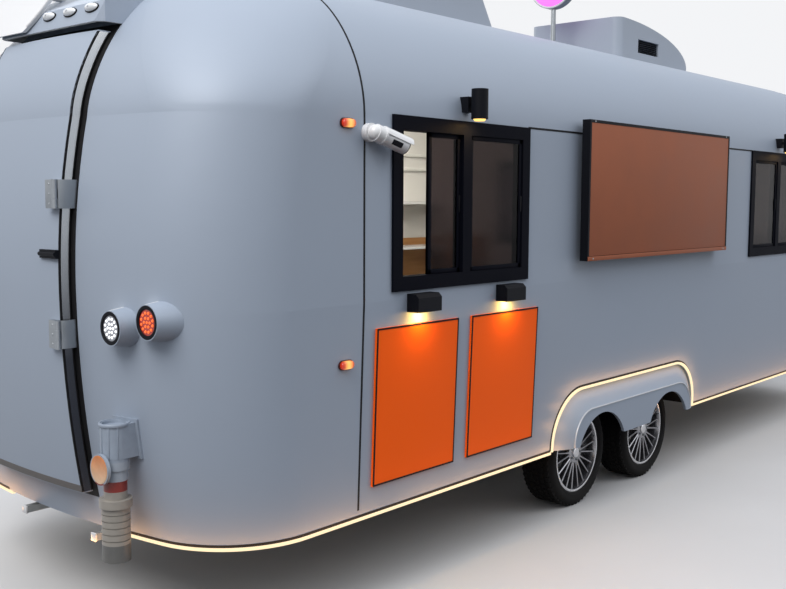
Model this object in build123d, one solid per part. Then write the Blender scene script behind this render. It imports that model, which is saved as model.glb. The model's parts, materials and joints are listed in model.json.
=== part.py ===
from build123d import *
import math
import os

# Food trailer with a rounded shell, twin axles and an A-frame drawbar.
# Millimetres. +X points forward to the coupling, +Y to the left, +Z up, ground at z = 0.
# The origin lies on the ground under the middle of the overall box.

# Body shell. Cutting blocks reach beyond every piece.
body_width = 2100
beyond = 6000
shell_bottom = 390
wall = 40
rear_seam_x = -3233
front_seam_x = 2110
lean_top_z = 1250
lean = 0.036
shoulder_z = 1950
shoulder_r = 605
shoulder_turn = 73.8
crown_r = 2200
cap_roof_r = 790
bulge_z = 1350
bulge_r = 2900
lower_bulge_r = 4500
panel_split_z = 1985

# Rear door, hung on its right edge
door_width = 690
door_bottom = 535
door_top = 2275
door_thickness = 42
door_gap = 8
seal_depth = 3
seal_band = 30
seal_margin = 22
doorway_margin = 35
hinge_r = 10
hinge_height = 105
hinge_heights = (1150, 1665)
leaf_width = 62
leaf_thickness = 4
hinge_gap = 0.5
handle_plate = (70, 150)
handle_height = 1120
handle_inset = 60
handle_proud = 16
handle_grip = (24, 118)
buffer_height = 1445
buffer_length = 110
buffer_section = (26, 32)

# Brow over the door, its lamps and the blank round plate on it
brow_bottom = 2305
brow_half = 372
brow_lip_x = -3945
brow_face_height = 80
brow_face_lean = 30
brow_back = (-3610, 2535)
brow_shell = 14
brow_end_chamfer = 28
brow_lamp_count = 3
brow_lamp_start = -300
brow_lamp_pitch = 150
brow_lamp_z = 2360
brow_lamp = (84, 34, 22)
plate_r = 400
plate_thickness = 12
plate_tilt = 65
plate_gap = 0.3
plate_y = 387
plate_rise = 235
plate_cut_z = 2312
plate_strut_z = 2492
plate_strut_spread = 120
plate_strut_r = 11

# Windows, each placed by its rear edge along X
window_width = 962
window_height = 702
window_sill = 1283
right_windows = (-3075, 539)
left_windows = (539,)
frame_flange = 20
frame_face = 58
frame_proud = 12
mullion_width = 56
pane_thickness = 6

# Wheels and axles
axle_centre_x = -1003
axle_spacing = 773
tyre_r = 289
tyre_width = 195
rim_r = 213
rim_lip = 12
rim_width = 172
wheel_face_inset = 120
rim_well = 20
spoke_count = 20
spoke_width = 10
spoke_root_depth = 30
spoke_tip_depth = 16
spoke_set = 12
spoke_dish = 24
hub_r = 60
hub_back = 10
lug_count = 5
lug_circle_r = 42
lug_recess_r = 8
lug_recess = 12
hub_depth = 70
stub_r = 28
bearing_gap = 0.3
stub_length = 60
axle_tube = 60
axle_tube_half = 640
arm_thickness = 24
arm_length = 120
arm_width = 74

# Wheel arches
arch_half = 812
arch_top_z = 682
arch_corner_r = 270
flare_half = 674
flare_top_z = 572
flare_corner_r = 172
flare_proud = 24
flare_thickness = 16
cutout_r = 262
cutout_drop = 16
cutout_pad = 200
wheel_box_depth = 330
wheel_box_top = 700
wheel_box_wall = 10

# Chassis and floor
beam_bottom = 350
beam_top = 440
beam_width = 60
beam_y = 560
rear_beam_x = -3800
front_beam_x = 2690
beam_end = 20
step_tube = 28
step_tube_y = (157, -358)
step_tube_x = -4005
step_tube_top = 373
cross_positions = (-3050, -1900, -200, 700, 1500, 2240)
cross_width = 50
floor_thickness = 45
floor_margin = 0.3

# Drawbar, coupling and jockey wheel
drawbar_root_x = 2300
drawbar_meet_x = 3880
drawbar_width = 60
coupling_height = 60
coupling_length = 250
coupling_width = 84
ball_r = 25.5
ball_depth = 34
ball_set_back = 50
coupling_nose_r = 34
coupling_dome = 16
coupling_dome_wall = 8
lever_gap = 14
lever_length = 130
lever_half = 12
lever_thickness = 14
lever_post = 22
jockey_x = 3560
clamp_size = 90
clamp_half = 105
clamp_thickness = 12
clamp_height = 70
jockey_outer_r = 30
jockey_inner_r = 24
jockey_tube_top = 800
jockey_tube_bottom = 330
jockey_crown_z = 236
jockey_wheel_r = 110
jockey_wheel_width = 56
jockey_trail = 40
fork_plate = 6
fork_gap = 4
jockey_axle_r = 8
jockey_hub_r = 55
jockey_cap = 30
jockey_leg_drop = 130
fork_half = 25
fork_crown = 8
crank_r = 8
crank_rise = 60
crank_reach = 120
crank_grip = 80
crank_grip_r = 12
slide_gap = 0.4

# Corner steadies, stowed level under the beams
steady_hinges = ((-3300, -1), (1750, 1))
steady_length = 340
steady_width = 44
steady_drop = 34
steady_pin_r = 8
steady_y = 470
steady_foot = 90
ear_thickness = 8
ear_gap = 1

# Lamps and fittings on the walls
pod_r = 63
pod_taper = 0.13
pod_reach = 400
pod_lens_r = 54
pod_lip = 14
pod_lens_gap = 1
# Rear lamps of one side: X of the rim, distance from the middle, height
pods = ((-4092, 630, 1195), (-4052, 790, 1225))
strip_width = 16
strip_height = 14
strip_proud = 8
arch_strip_outside = 4
arch_strip_inside = 8
marker_size = (78, 22, 44)
marker_sink = 12
# Side marker lamps: X and height
markers = ((-3330, 1935), (-3330, 1020))
camera_x = -3215
camera_z = 1905
camera_base_r = 36
camera_base_depth = 24
camera_ball_r = 30
camera_r = 34
camera_length = 150
camera_rim = 6
camera_drop = 18
camera_turn = 10

# Power inlet with its plug, on the rear corner
inlet_x = -4058
inlet_y = -592
inlet_r = 52
inlet_bottom = 723
inlet_top = 848
inlet_recess = 10
inlet_wall = 8
inlet_flange = 12
inlet_flange_depth = 7
collar_r = 46
collar_step = 5
collar_drop = 85
socket_r = 42
ring_r = 59
ring_z = 557
ring_height = 30
plug_r = 51
plug_bottom = 343
plug_ribs = 5
plug_rib_pitch = 24
plug_groove = 4
lid_r = 56.5
lid_z = 688
lid_thickness = 12
lid_gap = 2
lid_lug = 14

# Menu boards with their lamps, and the sign between the windows
board_width = 524
board_height = 640
board_bottom = 504
board_starts = (-3164, -2542)
board_thickness = 12
board_gap = 0.3
box_lamp = (150, 62, 75)
box_lamp_bottom = 1195
spot_r = 36
spot_length = 126
spot_reach = 72
spot_height = 2055
spot_foot = (50, 65)
spot_foot_proud = 30
spot_arm = 16
sign_start = -1680
sign_end = 0
sign_bottom = 1350
sign_top = 2050
sign_depth = 45
sign_standoff = 30
sign_rim = 14
sign_recess = 5
standoff_r = 12
standoff_inset = 150
box_lamp_bevel = 16

# Roof units and the round sign on its pole
unit_width = 700
rear_unit_start = -2510
rear_unit_length = 1100
rear_unit_height = 190
front_unit_start = 0
front_unit_length = 1010
front_unit_height = 250
unit_lean = 0.655
unit_sink = 60
unit_corner_r = 60
vent_start = 260
vent_rise = 40
vent_width = 300
vent_height = 90
vent_depth = 30
fan_r = 190
fan_depth = 10
roof_sign_x = -260
roof_sign_r = 170
roof_sign_z = 3085
roof_sign_depth = 60
roof_pole_r = 16
pole_foot_r = 60
pole_foot_height = 14

# Shelf on the left wall inside, with storage boxes
shelf_start = -1500
shelf_end = -300
shelf_heights = (1330, 1640)
shelf_depth = 240
shelf_thickness = 18
shelf_side_drop = 75
shelf_gap = 0.3

# Worktops inside, along both sides
worktop_start = -2900
worktop_end = 1700
worktop_height = 915
worktop_thickness = 35
worktop_depth = 425
worktop_wall_gap = 0.3
bracket_count = 5
bracket_inset = 50
bracket_thickness = 30
bracket_reach = 300
bracket_drop = 155


def crown_z():
    """Top of the roof."""
    turn = math.radians(shoulder_turn)
    side = body_width / 2 - shoulder_r + shoulder_r * math.cos(turn)
    join = shoulder_z + shoulder_r * math.sin(turn)
    return join + crown_r - math.sqrt(crown_r**2 - side**2)


def end_join():
    """Height and slope where the end bulge meets the roof curve of the cap."""
    roof_z = crown_z() - cap_roof_r
    join_z = (bulge_r * roof_z - cap_roof_r * bulge_z) / (bulge_r - cap_roof_r)
    return join_z, math.asin((join_z - roof_z) / cap_roof_r)


def half_width(z, inset=0.0):
    """Half width of the body at a height, moved in by inset."""
    turn = math.radians(shoulder_turn)
    centre_y = body_width / 2 - shoulder_r
    r = shoulder_r - inset
    if z <= shoulder_z:
        return body_width / 2 - lean * max(0, lean_top_z - z) - inset
    if z <= shoulder_z + r * math.sin(turn):
        return centre_y + math.sqrt(r**2 - (z - shoulder_z) ** 2)
    return math.sqrt((crown_r - inset) ** 2 - (z - crown_z() + crown_r) ** 2)


def end_reach(z, inset=0.0):
    """Distance from a seam to the tip of its cap at a height."""
    join_z, slope = end_join()
    depth = cap_roof_r * math.cos(slope) + bulge_r * (1 - math.cos(slope))
    if z <= bulge_z:
        drop = bulge_z - z
        return depth - lower_bulge_r + math.sqrt(lower_bulge_r**2 - drop**2) - inset
    if z <= join_z:
        r = bulge_r - inset
        return depth - bulge_r + math.sqrt(r**2 - (z - bulge_z) ** 2)
    r = cap_roof_r - inset
    return math.sqrt(r**2 - (z - crown_z() + cap_roof_r) ** 2)


def plan_outline(z, inset, corner, end):
    """Closed outline of the body at a height. Corner and end radii are shares of its half width."""
    w = half_width(z, inset)
    reach = end_reach(z, inset)
    r = corner * w
    end_r = end * w
    run = math.sqrt((end_r - r) ** 2 - (w - r) ** 2)
    aim = math.atan2(w - r, run)
    half = (math.pi / 2 + aim) / 2
    ends = []
    for seam, way in ((rear_seam_x, -1), (front_seam_x, 1)):
        tip = seam + way * reach
        centre = tip - way * end_r
        meet = (centre + way * end_r * math.cos(aim), end_r * math.sin(aim))
        corner_x = centre + way * run
        bend = (corner_x + way * r * math.cos(half), w - r + r * math.sin(half))
        ends.append((tip, meet, bend, (corner_x, w)))
    (tip0, meet0, bend0, side0), (tip1, meet1, bend1, side1) = ends

    def at(point, way=1):
        return (point[0], way * point[1], z)

    return Wire([
        Line(at(side0, -1), at(side1, -1)),
        ThreePointArc(at(side1, -1), at(bend1, -1), at(meet1, -1)),
        ThreePointArc(at(meet1, -1), (tip1, 0, z), at(meet1)),
        ThreePointArc(at(meet1), at(bend1), at(side1)),
        Line(at(side1), at(side0)),
        ThreePointArc(at(side0), at(bend0), at(meet0)),
        ThreePointArc(at(meet0), (tip0, 0, z), at(meet0, -1)),
        ThreePointArc(at(meet0, -1), at(bend0, -1), at(side0, -1)),
    ])


# Wall levels share one corner and end radius, as shares of the half width
wall_corner = 0.40
wall_end = 4.0
# Roof levels: turn round the shoulder in degrees, corner share, end share
shoulder_levels = ((0, 0.40, 4.0), (20, 0.50, 3.8), (40, 0.58, 3.4), (58, 0.66, 3.0), (73.8, 0.74, 2.6))
# Crown levels: share of the crown's half width, corner share, end share
crown_levels = ((0.62, 0.82, 2.2), (0.28, 0.88, 2.0), (0.08, 0.90, 2.0))


def body_form(inset, bottom=shell_bottom):
    """Solid form of the whole body, moved in by inset."""
    low = (bottom, (bottom + lean_top_z) / 2, lean_top_z)
    middle = (lean_top_z, (lean_top_z + shoulder_z) / 2, shoulder_z)
    high = []
    for turn, corner, end in shoulder_levels:
        high.append((shoulder_z + (shoulder_r - inset) * math.sin(math.radians(turn)), corner, end))
    join_w = half_width(high[-1][0], inset)
    for share, corner, end in crown_levels:
        rise = math.sqrt((crown_r - inset) ** 2 - (share * join_w) ** 2)
        high.append((crown_z() - crown_r + rise, corner, end))
    form = Solid.make_loft([plan_outline(z, inset, wall_corner, wall_end) for z in low])
    form += Solid.make_loft([plan_outline(z, inset, wall_corner, wall_end) for z in middle])
    form += Solid.make_loft([plan_outline(z, inset, corner, end) for z, corner, end in high])
    return form


def block(x0, x1, y0, y1, z0, z1):
    """Box between two corners."""
    return Pos((x0 + x1) / 2, (y0 + y1) / 2, (z0 + z1) / 2) * Box(abs(x1 - x0), abs(y1 - y0), abs(z1 - z0))


def rod(axis, centre, r, length):
    """Cylinder along one axis, about its centre."""
    turn = {"x": Rot(0, 90, 0), "y": Rot(90, 0, 0), "z": Rot(0, 0, 0)}[axis]
    return Pos(*centre) * turn * Cylinder(r, length)


def side_prism(outline, y0, y1):
    """Extrude an XZ outline from y0 to y1."""
    face = Plane.XZ * outline
    return extrude(Pos(0, y0, 0) * face, amount=-(y1 - y0))


def rounded_arch(half, top, corner, bottom):
    """Arch outline in XZ about the axle centre, with rounded top corners."""
    outline = Pos(axle_centre_x, (top + bottom) / 2) * Rectangle(2 * half, top - bottom)
    return fillet(outline.vertices().group_by(Axis.Y)[-1], corner)


def rear_face_x(y, z, out=0.0):
    """X of the rear face near its middle, moved out."""
    end_r = wall_end * half_width(z, -out)
    return rear_seam_x - end_reach(z, -out) + end_r - math.sqrt(end_r**2 - y**2)


def hinge_axis():
    """Plan position of the door's hinge pins, just outside the leaf's right edge."""
    reach = max(end_reach(z) for z in hinge_heights)
    return rear_seam_x - reach - door_gap - door_thickness - hinge_r, -door_width / 2 - hinge_r


def front_tip_x():
    """The coupling reaches as far forward as the hinges reach back, so the origin is in the middle."""
    return hinge_r - hinge_axis()[0]


def hub_face():
    """Outer face of the hub, measured from the middle of the tyre."""
    return rim_width / 2 - spoke_set - spoke_dish


def wheel_positions():
    """Name, hub x and side of each wheel."""
    for side_name, side in (("right", -1), ("left", 1)):
        for end_name, offset in (("rear", -0.5), ("front", 0.5)):
            yield f"{side_name}_{end_name}", axle_centre_x + offset * axle_spacing, side


def wheel_face_y(side):
    """Outer face of a wheel."""
    return side * (body_width / 2 - wheel_face_inset)


OUTER = body_form(0)
parts = {}


def add(name, shape):
    """Keep a named node."""
    parts[name] = shape


def build_shell():
    """Rear cap, front cap, roof and side walls, cut from one hollow form."""
    shell = OUTER - body_form(wall, shell_bottom - 10)
    doorway_half = door_width / 2 - doorway_margin
    doorway = block(-beyond, rear_seam_x, -doorway_half, doorway_half,
                    door_bottom + doorway_margin, door_top - doorway_margin)
    add("cap_rear", (shell & block(-beyond, rear_seam_x, -beyond, beyond, 0, beyond)) - doorway)
    add("cap_front", shell & block(front_seam_x, beyond, -beyond, beyond, 0, beyond))
    middle = shell & block(rear_seam_x, front_seam_x, -beyond, beyond, 0, beyond)
    add("roof", middle & block(-beyond, beyond, -beyond, beyond, panel_split_z, beyond))
    arch = rounded_arch(arch_half, arch_top_z, arch_corner_r, shell_bottom - 100)
    for name, side, starts in (("wall_right", -1, right_windows), ("wall_left", 1, left_windows)):
        panel = middle & block(-beyond, beyond, 0, side * beyond, 0, panel_split_z)
        panel -= side_prism(arch, 0, side * beyond)
        for start in starts:
            panel -= block(start + frame_flange, start + window_width - frame_flange, 0, side * beyond,
                           window_sill + frame_flange, window_sill + window_height - frame_flange)
        add(name, panel)


def build_windows():
    """Sliding window frames with a mullion, and their panes."""
    face = body_width / 2
    frames = []
    panes = []
    for side, starts in ((-1, right_windows), (1, left_windows)):
        for start in starts:
            end = start + window_width
            top = window_sill + window_height
            flange = block(start, end, side * (face + 1), side * (face + frame_proud), window_sill, top)
            body = block(start + frame_flange, end - frame_flange, side * (face - wall - 6), side * (face + 2),
                         window_sill + frame_flange, top - frame_flange)
            frame = flange + body
            middle = (start + end) / 2
            for x0, x1 in ((start + frame_face, middle - mullion_width / 2),
                           (middle + mullion_width / 2, end - frame_face)):
                frame -= block(x0, x1, 0, side * 2 * face, window_sill + frame_face, top - frame_face)
                panes.append(block(x0, x1, side * (face - pane_thickness), side * face,
                                   window_sill + frame_face, top - frame_face))
            frames.append(frame)
    add("window_frames", Compound(children=frames))
    add("window_glass", Compound(children=panes))


def build_door():
    """Curved door leaf with its hinge knuckles, the seal round it and the fixed hinge halves."""
    half = door_width / 2
    leaf_form = body_form(-door_gap - door_thickness) - body_form(-door_gap)
    leaf = leaf_form & block(-beyond, rear_seam_x, -half, half, door_bottom, door_top)
    seal_half = half + seal_margin
    inner_half = half - seal_band
    seal = (body_form(-seal_depth) - OUTER) & block(
        -beyond, rear_seam_x, -seal_half, seal_half, door_bottom - seal_margin, brow_bottom)
    seal -= block(-beyond, beyond, -inner_half, inner_half, door_bottom + seal_band, door_top - seal_band)
    hinge_x, hinge_y = hinge_axis()
    third = hinge_height / 3
    fixed = []
    for z in hinge_heights:
        leaf_x = rear_seam_x - end_reach(z) - door_gap - door_thickness / 2
        leaf += block(hinge_x, leaf_x, hinge_y, hinge_y + leaf_width,
                      z - third / 2 + hinge_gap, z + third / 2 - hinge_gap)
        leaf += rod("z", (hinge_x, hinge_y, z), hinge_r, third - 2 * hinge_gap)
        for way in (-1, 1):
            middle = z + way * third
            knuckle = rod("z", (hinge_x, hinge_y, middle), hinge_r, third)
            knuckle += block(hinge_x, rear_seam_x - end_reach(z) + wall, hinge_y - leaf_thickness, hinge_y,
                             middle - third / 2, middle + third / 2)
            seal -= knuckle
            fixed.append(knuckle - OUTER)
    add("rear_door", leaf)
    add("door_seal", seal)
    add("door_hinges", Compound(children=fixed))
    face_out = door_gap + door_thickness
    handle_y = half - handle_inset
    plate_width, plate_height = handle_plate
    face_x = rear_face_x(handle_y, handle_height, face_out)
    handle = block(face_x - handle_proud / 2, face_x + door_thickness / 2, handle_y - plate_width / 2,
                   handle_y + plate_width / 2, handle_height - plate_height / 2, handle_height + plate_height / 2)
    grip_width, grip_height = handle_grip
    handle += block(face_x - handle_proud, face_x, handle_y - grip_width / 2, handle_y + grip_width / 2,
                    handle_height - grip_height / 2, handle_height + grip_height / 2)
    proud, tall = buffer_section
    buffer_y = -half + buffer_length / 2
    buffer_x = rear_face_x(buffer_y, buffer_height, face_out)
    rubber = block(buffer_x - proud / 2, buffer_x + door_thickness / 2, -half, -half + buffer_length,
                   buffer_height - tall / 2, buffer_height + tall / 2)
    rubber += rod("y", (buffer_x - proud / 2, buffer_y, buffer_height), tall / 4, buffer_length)
    add("door_fittings", Compound(children=[handle - leaf, rubber - leaf]))


def build_wheels():
    """Tyres and dished multi-spoke rims, one of each per wheel."""
    half = tyre_width / 2
    tyre_section = make_face(Polyline(
        (rim_r, -half + 20), (rim_r + 26, -half), (tyre_r - 26, -half + 2), (tyre_r - 5, -half + 16),
        (tyre_r, -half + 40), (tyre_r, half - 40), (tyre_r - 5, half - 16), (tyre_r - 26, half - 2),
        (rim_r + 26, half), (rim_r, half - 20), (rim_r, -half + 20)))
    tyre = revolve(tyre_section, Axis.Y)
    rim_half = rim_width / 2
    inner_r = rim_r - rim_lip
    well_r = inner_r - rim_well
    barrel = make_face(Polyline(
        (rim_r, -rim_half), (rim_r, rim_half), (inner_r, rim_half), (inner_r - 6, rim_half - spoke_set),
        (well_r, 0), (inner_r - 6, spoke_set - rim_half), (inner_r, -rim_half), (rim_r, -rim_half)))
    wheel = revolve(barrel, Axis.Y)
    face_y = hub_face()
    wheel += rod("y", (0, face_y - hub_depth / 2, 0), hub_r, hub_depth)
    tip_y = face_y + spoke_dish
    spoke = Pos(0, 0, -spoke_width / 2) * extrude(make_face(Polyline(
        (hub_r - 6, face_y), (inner_r, tip_y), (inner_r, tip_y - spoke_tip_depth),
        (hub_r - 6, face_y - spoke_root_depth), (hub_r - 6, face_y))), amount=spoke_width)
    for i in range(spoke_count):
        wheel += Rot(0, i * 360 / spoke_count, 0) * spoke
    bore_depth = hub_depth - hub_back
    wheel -= rod("y", (0, face_y - hub_depth + bore_depth / 2, 0), stub_r + bearing_gap, bore_depth)
    for i in range(lug_count):
        recess = rod("y", (lug_circle_r, face_y, 0), lug_recess_r, 2 * lug_recess)
        wheel -= Rot(0, i * 360 / lug_count, 0) * recess
    for name, x, side in wheel_positions():
        centre_y = wheel_face_y(side) - side * half
        add(f"tyre_{name}", Pos(x, centre_y, tyre_r) * tyre)
        turned = Rot(0, 0, 180) * wheel if side < 0 else wheel
        add(f"rim_{name}", Pos(x, centre_y, tyre_r) * turned)


def build_axles():
    """Square axle tubes with trailing arms and stub axles."""
    hub_inner = hub_face() - hub_depth
    for end_name, offset in (("rear", -0.5), ("front", 0.5)):
        x = axle_centre_x + offset * axle_spacing
        tube_x = x + arm_length
        tube_z = beam_bottom - axle_tube / 2
        axle = block(tube_x - axle_tube / 2, tube_x + axle_tube / 2, -axle_tube_half, axle_tube_half,
                     tube_z - axle_tube / 2, tube_z + axle_tube / 2)
        for side in (-1, 1):
            centre_y = wheel_face_y(side) - side * tyre_width / 2
            arm_outline = Pos((x + tube_x) / 2, (tyre_r + tube_z) / 2) * Rot(
                0, 0, math.degrees(math.atan2(tube_z - tyre_r, arm_length))) * SlotCenterToCenter(
                math.hypot(arm_length, tube_z - tyre_r), arm_width)
            axle += side_prism(arm_outline, side * axle_tube_half, side * (axle_tube_half + arm_thickness))
            stub_end = centre_y + side * (hub_inner + stub_length)
            stub_start = side * (axle_tube_half + arm_thickness / 2)
            axle += rod("y", (x, (stub_start + stub_end) / 2, tyre_r), stub_r, abs(stub_end - stub_start))
        add(f"axle_{end_name}", axle)


def build_arches():
    """Outer flare with two wheel cut-outs, and the box over the wheels, on each side."""
    face = body_width / 2
    outer = rounded_arch(arch_half, arch_top_z, arch_corner_r, shell_bottom)
    inner = rounded_arch(flare_half, flare_top_z, flare_corner_r, shell_bottom)
    low_y = half_width(shell_bottom)
    flares = []
    boxes = []
    for side in (-1, 1):
        back = Pos(0, side * (low_y - flare_thickness), 0) * (Plane.XZ * outer)
        front = Pos(0, side * (face + flare_proud), 0) * (Plane.XZ * inner)
        flare = Solid.make_loft([back.wire(), front.wire()], ruled=True)
        hollow_back = Pos(0, side * (low_y - flare_thickness - 1), 0) * (
            Plane.XZ * rounded_arch(arch_half - 14, arch_top_z - 14, arch_corner_r - 14, shell_bottom - 20))
        hollow_front = Pos(0, side * (face + flare_proud - flare_thickness), 0) * (
            Plane.XZ * rounded_arch(flare_half - 10, flare_top_z - 10, flare_corner_r - 10, shell_bottom - 20))
        flare -= Solid.make_loft([hollow_back.wire(), hollow_front.wire()], ruled=True)
        for offset in (-0.5, 0.5):
            x = axle_centre_x + offset * axle_spacing
            flare -= rod("y", (x, side * face, tyre_r - cutout_drop), cutout_r, 2 * cutout_pad)
        flares.append(flare)
        inner_y = face - wall - wheel_box_depth
        outer_y = low_y - wall - board_gap
        box = block(axle_centre_x - arch_half - wheel_box_wall, axle_centre_x + arch_half + wheel_box_wall,
                    side * inner_y, side * outer_y, shell_bottom, wheel_box_top + wheel_box_wall)
        box -= block(axle_centre_x - arch_half, axle_centre_x + arch_half,
                     side * (inner_y + wheel_box_wall), side * (outer_y + 100), 0, wheel_box_top)
        boxes.append(box)
    add("arch_flares", Compound(children=flares))
    add("wheel_boxes", Compound(children=boxes))


def build_floor():
    """Floor panel inside the walls, cut out over the wheels."""
    slab = body_form(wall + floor_margin, beam_top) & block(
        -beyond, beyond, -beyond, beyond, beam_top, beam_top + floor_thickness)
    face = body_width / 2
    reach = arch_half + wheel_box_wall + floor_margin
    for side in (-1, 1):
        slab -= block(axle_centre_x - reach, axle_centre_x + reach,
                      side * (face - wall - wheel_box_depth - floor_margin), side * 2 * face, 0, beyond)
    add("floor", slab)


def build_chassis():
    """Two long beams, cross members and steady brackets, with the A-frame drawbar ahead."""
    frame = None
    for side in (-1, 1):
        beam = block(rear_beam_x, front_beam_x, side * beam_y - beam_width / 2, side * beam_y + beam_width / 2,
                     beam_bottom, beam_top)
        frame = beam if frame is None else frame + beam
    for x in cross_positions:
        frame += block(x - cross_width / 2, x + cross_width / 2, -beam_y, beam_y, beam_bottom + 10, beam_top)
    for x in (rear_beam_x + beam_end, front_beam_x - beam_end):
        frame += block(x - beam_end, x + beam_end, -beam_y, beam_y, beam_bottom, beam_top)
    for y in step_tube_y:
        frame += block(step_tube_x, rear_beam_x + beam_end, y - step_tube / 2, y + step_tube / 2,
                       step_tube_top - step_tube, step_tube_top)
    for x, way in steady_hinges:
        for side in (-1, 1):
            for edge in (-1, 1):
                y = side * steady_y + edge * (steady_width / 2 + ear_gap + ear_thickness / 2)
                frame += block(x - 30, x + 30, y - ear_thickness / 2, y + ear_thickness / 2,
                               beam_bottom - steady_drop - 20, beam_bottom + 12)
            frame += block(x - 30, x + 30, side * beam_y,
                           side * steady_y - side * (steady_width / 2 + ear_gap + ear_thickness),
                           beam_bottom, beam_bottom + 12)
            frame += rod("y", (x, side * steady_y, beam_bottom - steady_drop), steady_pin_r,
                         steady_width + 2 * (ear_gap + ear_thickness))
    add("chassis", frame)

    arms = None
    for side in (-1, 1):
        start = (drawbar_root_x, side * (beam_y - 30))
        end = (drawbar_meet_x, side * 18)
        run = math.dist(start, end)
        angle = math.degrees(math.atan2(end[1] - start[1], end[0] - start[0]))
        arm = Pos((start[0] + end[0]) / 2, (start[1] + end[1]) / 2, beam_bottom - coupling_height / 2) * Rot(
            0, 0, angle) * Box(run, drawbar_width, coupling_height)
        arms = arm if arms is None else arms + arm
    arms -= rod("z", (jockey_x, 0, beam_bottom), jockey_outer_r + 1, 300)
    arms += block(drawbar_root_x, drawbar_root_x + 60, -beam_y, beam_y, beam_bottom - coupling_height, beam_bottom)
    arms += block(drawbar_meet_x - 100, front_tip_x() - coupling_length, -58, 58,
                  beam_bottom - coupling_height, beam_bottom)
    add("drawbar", arms)


def build_coupling():
    """Coupling head with a rounded nose, a ball socket and its lever."""
    top = beam_bottom
    tip = front_tip_x()
    ball_x = tip - ball_set_back
    head = block(tip - coupling_length, tip, -coupling_width / 2, coupling_width / 2, top - coupling_height, top)
    head = fillet(head.edges().filter_by(Axis.Z).group_by(Axis.X)[-1], coupling_nose_r)
    head += rod("z", (ball_x, 0, top + coupling_dome / 2), ball_r + coupling_dome_wall, coupling_dome)
    head -= rod("z", (ball_x, 0, top - coupling_height + ball_depth / 2), ball_r, ball_depth)
    grip_z = top + coupling_dome + lever_gap
    lever = block(ball_x - lever_length, ball_x, -lever_half, lever_half, grip_z, grip_z + lever_thickness)
    lever += block(ball_x - lever_post, ball_x, -lever_half, lever_half, top + coupling_dome, grip_z)
    add("coupling", head + lever)


def build_jockey():
    """Jockey wheel: clamp and outer tube, sliding leg, swivelling fork and wheel."""
    top = beam_bottom
    tube_length = jockey_tube_top - jockey_tube_bottom
    tube_middle = (jockey_tube_top + jockey_tube_bottom) / 2
    outer = rod("z", (jockey_x, 0, tube_middle), jockey_outer_r, tube_length)
    outer += block(jockey_x - clamp_size / 2, jockey_x + clamp_size / 2, -clamp_half, clamp_half,
                   top, top + clamp_thickness)
    outer += rod("z", (jockey_x, 0, top + clamp_height / 2), jockey_outer_r + clamp_thickness / 2, clamp_height)
    outer -= rod("z", (jockey_x, 0, tube_middle - jockey_cap), jockey_inner_r + slide_gap, tube_length)
    crank_z = jockey_tube_top + crank_rise
    crank = rod("z", (jockey_x, 0, jockey_tube_top + crank_rise / 2), crank_r, crank_rise)
    crank += rod("x", (jockey_x + crank_reach / 2, 0, crank_z), crank_r, crank_reach + 2 * crank_r)
    crank += rod("z", (jockey_x + crank_reach, 0, crank_z + crank_grip / 2 - crank_r), crank_grip_r, crank_grip)
    add("jockey_tube", outer + crank)
    leg_top = jockey_tube_top - jockey_leg_drop
    leg = rod("z", (jockey_x, 0, (leg_top + jockey_crown_z) / 2), jockey_inner_r, leg_top - jockey_crown_z)
    add("jockey_leg", leg)
    half = jockey_wheel_width / 2 + fork_gap + fork_plate
    crown_top = jockey_crown_z - bearing_gap
    axle_x = jockey_x - jockey_trail
    fork = block(axle_x - fork_half, jockey_x + fork_half, -half, half, crown_top - fork_crown, crown_top)
    for side in (-1, 1):
        fork += block(axle_x - fork_half, axle_x + fork_half, side * half, side * (half - fork_plate),
                      jockey_wheel_r, crown_top)
        fork += rod("y", (axle_x, side * (half - fork_plate / 2), jockey_wheel_r), fork_half, fork_plate)
    fork += rod("y", (axle_x, 0, jockey_wheel_r), jockey_axle_r, 2 * half)
    add("jockey_fork", fork)
    groove = jockey_wheel_width / 4
    section = make_face(Polyline(
        (jockey_axle_r + slide_gap, -groove), (jockey_hub_r, -groove), (jockey_hub_r + 12, -jockey_wheel_width / 2),
        (jockey_wheel_r - 8, -jockey_wheel_width / 2), (jockey_wheel_r, -groove), (jockey_wheel_r, groove),
        (jockey_wheel_r - 8, jockey_wheel_width / 2), (jockey_hub_r + 12, jockey_wheel_width / 2),
        (jockey_hub_r, groove), (jockey_axle_r + slide_gap, groove), (jockey_axle_r + slide_gap, -groove)))
    add("jockey_wheel", Pos(axle_x, 0, jockey_wheel_r) * revolve(section, Axis.Y))


def build_steadies():
    """Corner steady legs with a foot, hinged under the beams."""
    for (x, way), end_name in zip(steady_hinges, ("rear", "front")):
        for side_name, side in (("right", -1), ("left", 1)):
            z = beam_bottom - steady_drop
            y = side * steady_y
            leg = block(x, x + way * steady_length, y - steady_width / 2, y + steady_width / 2, z - 12, z + 12)
            leg += rod("y", (x, y, z), 20, steady_width)
            leg += block(x + way * (steady_length - 10), x + way * steady_length, y - steady_foot / 2,
                         y + steady_foot / 2, z - 30, z + 25)
            leg -= rod("y", (x, y, z), steady_pin_r + bearing_gap, steady_width + 10)
            add(f"steady_{side_name}_{end_name}", leg)


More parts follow.
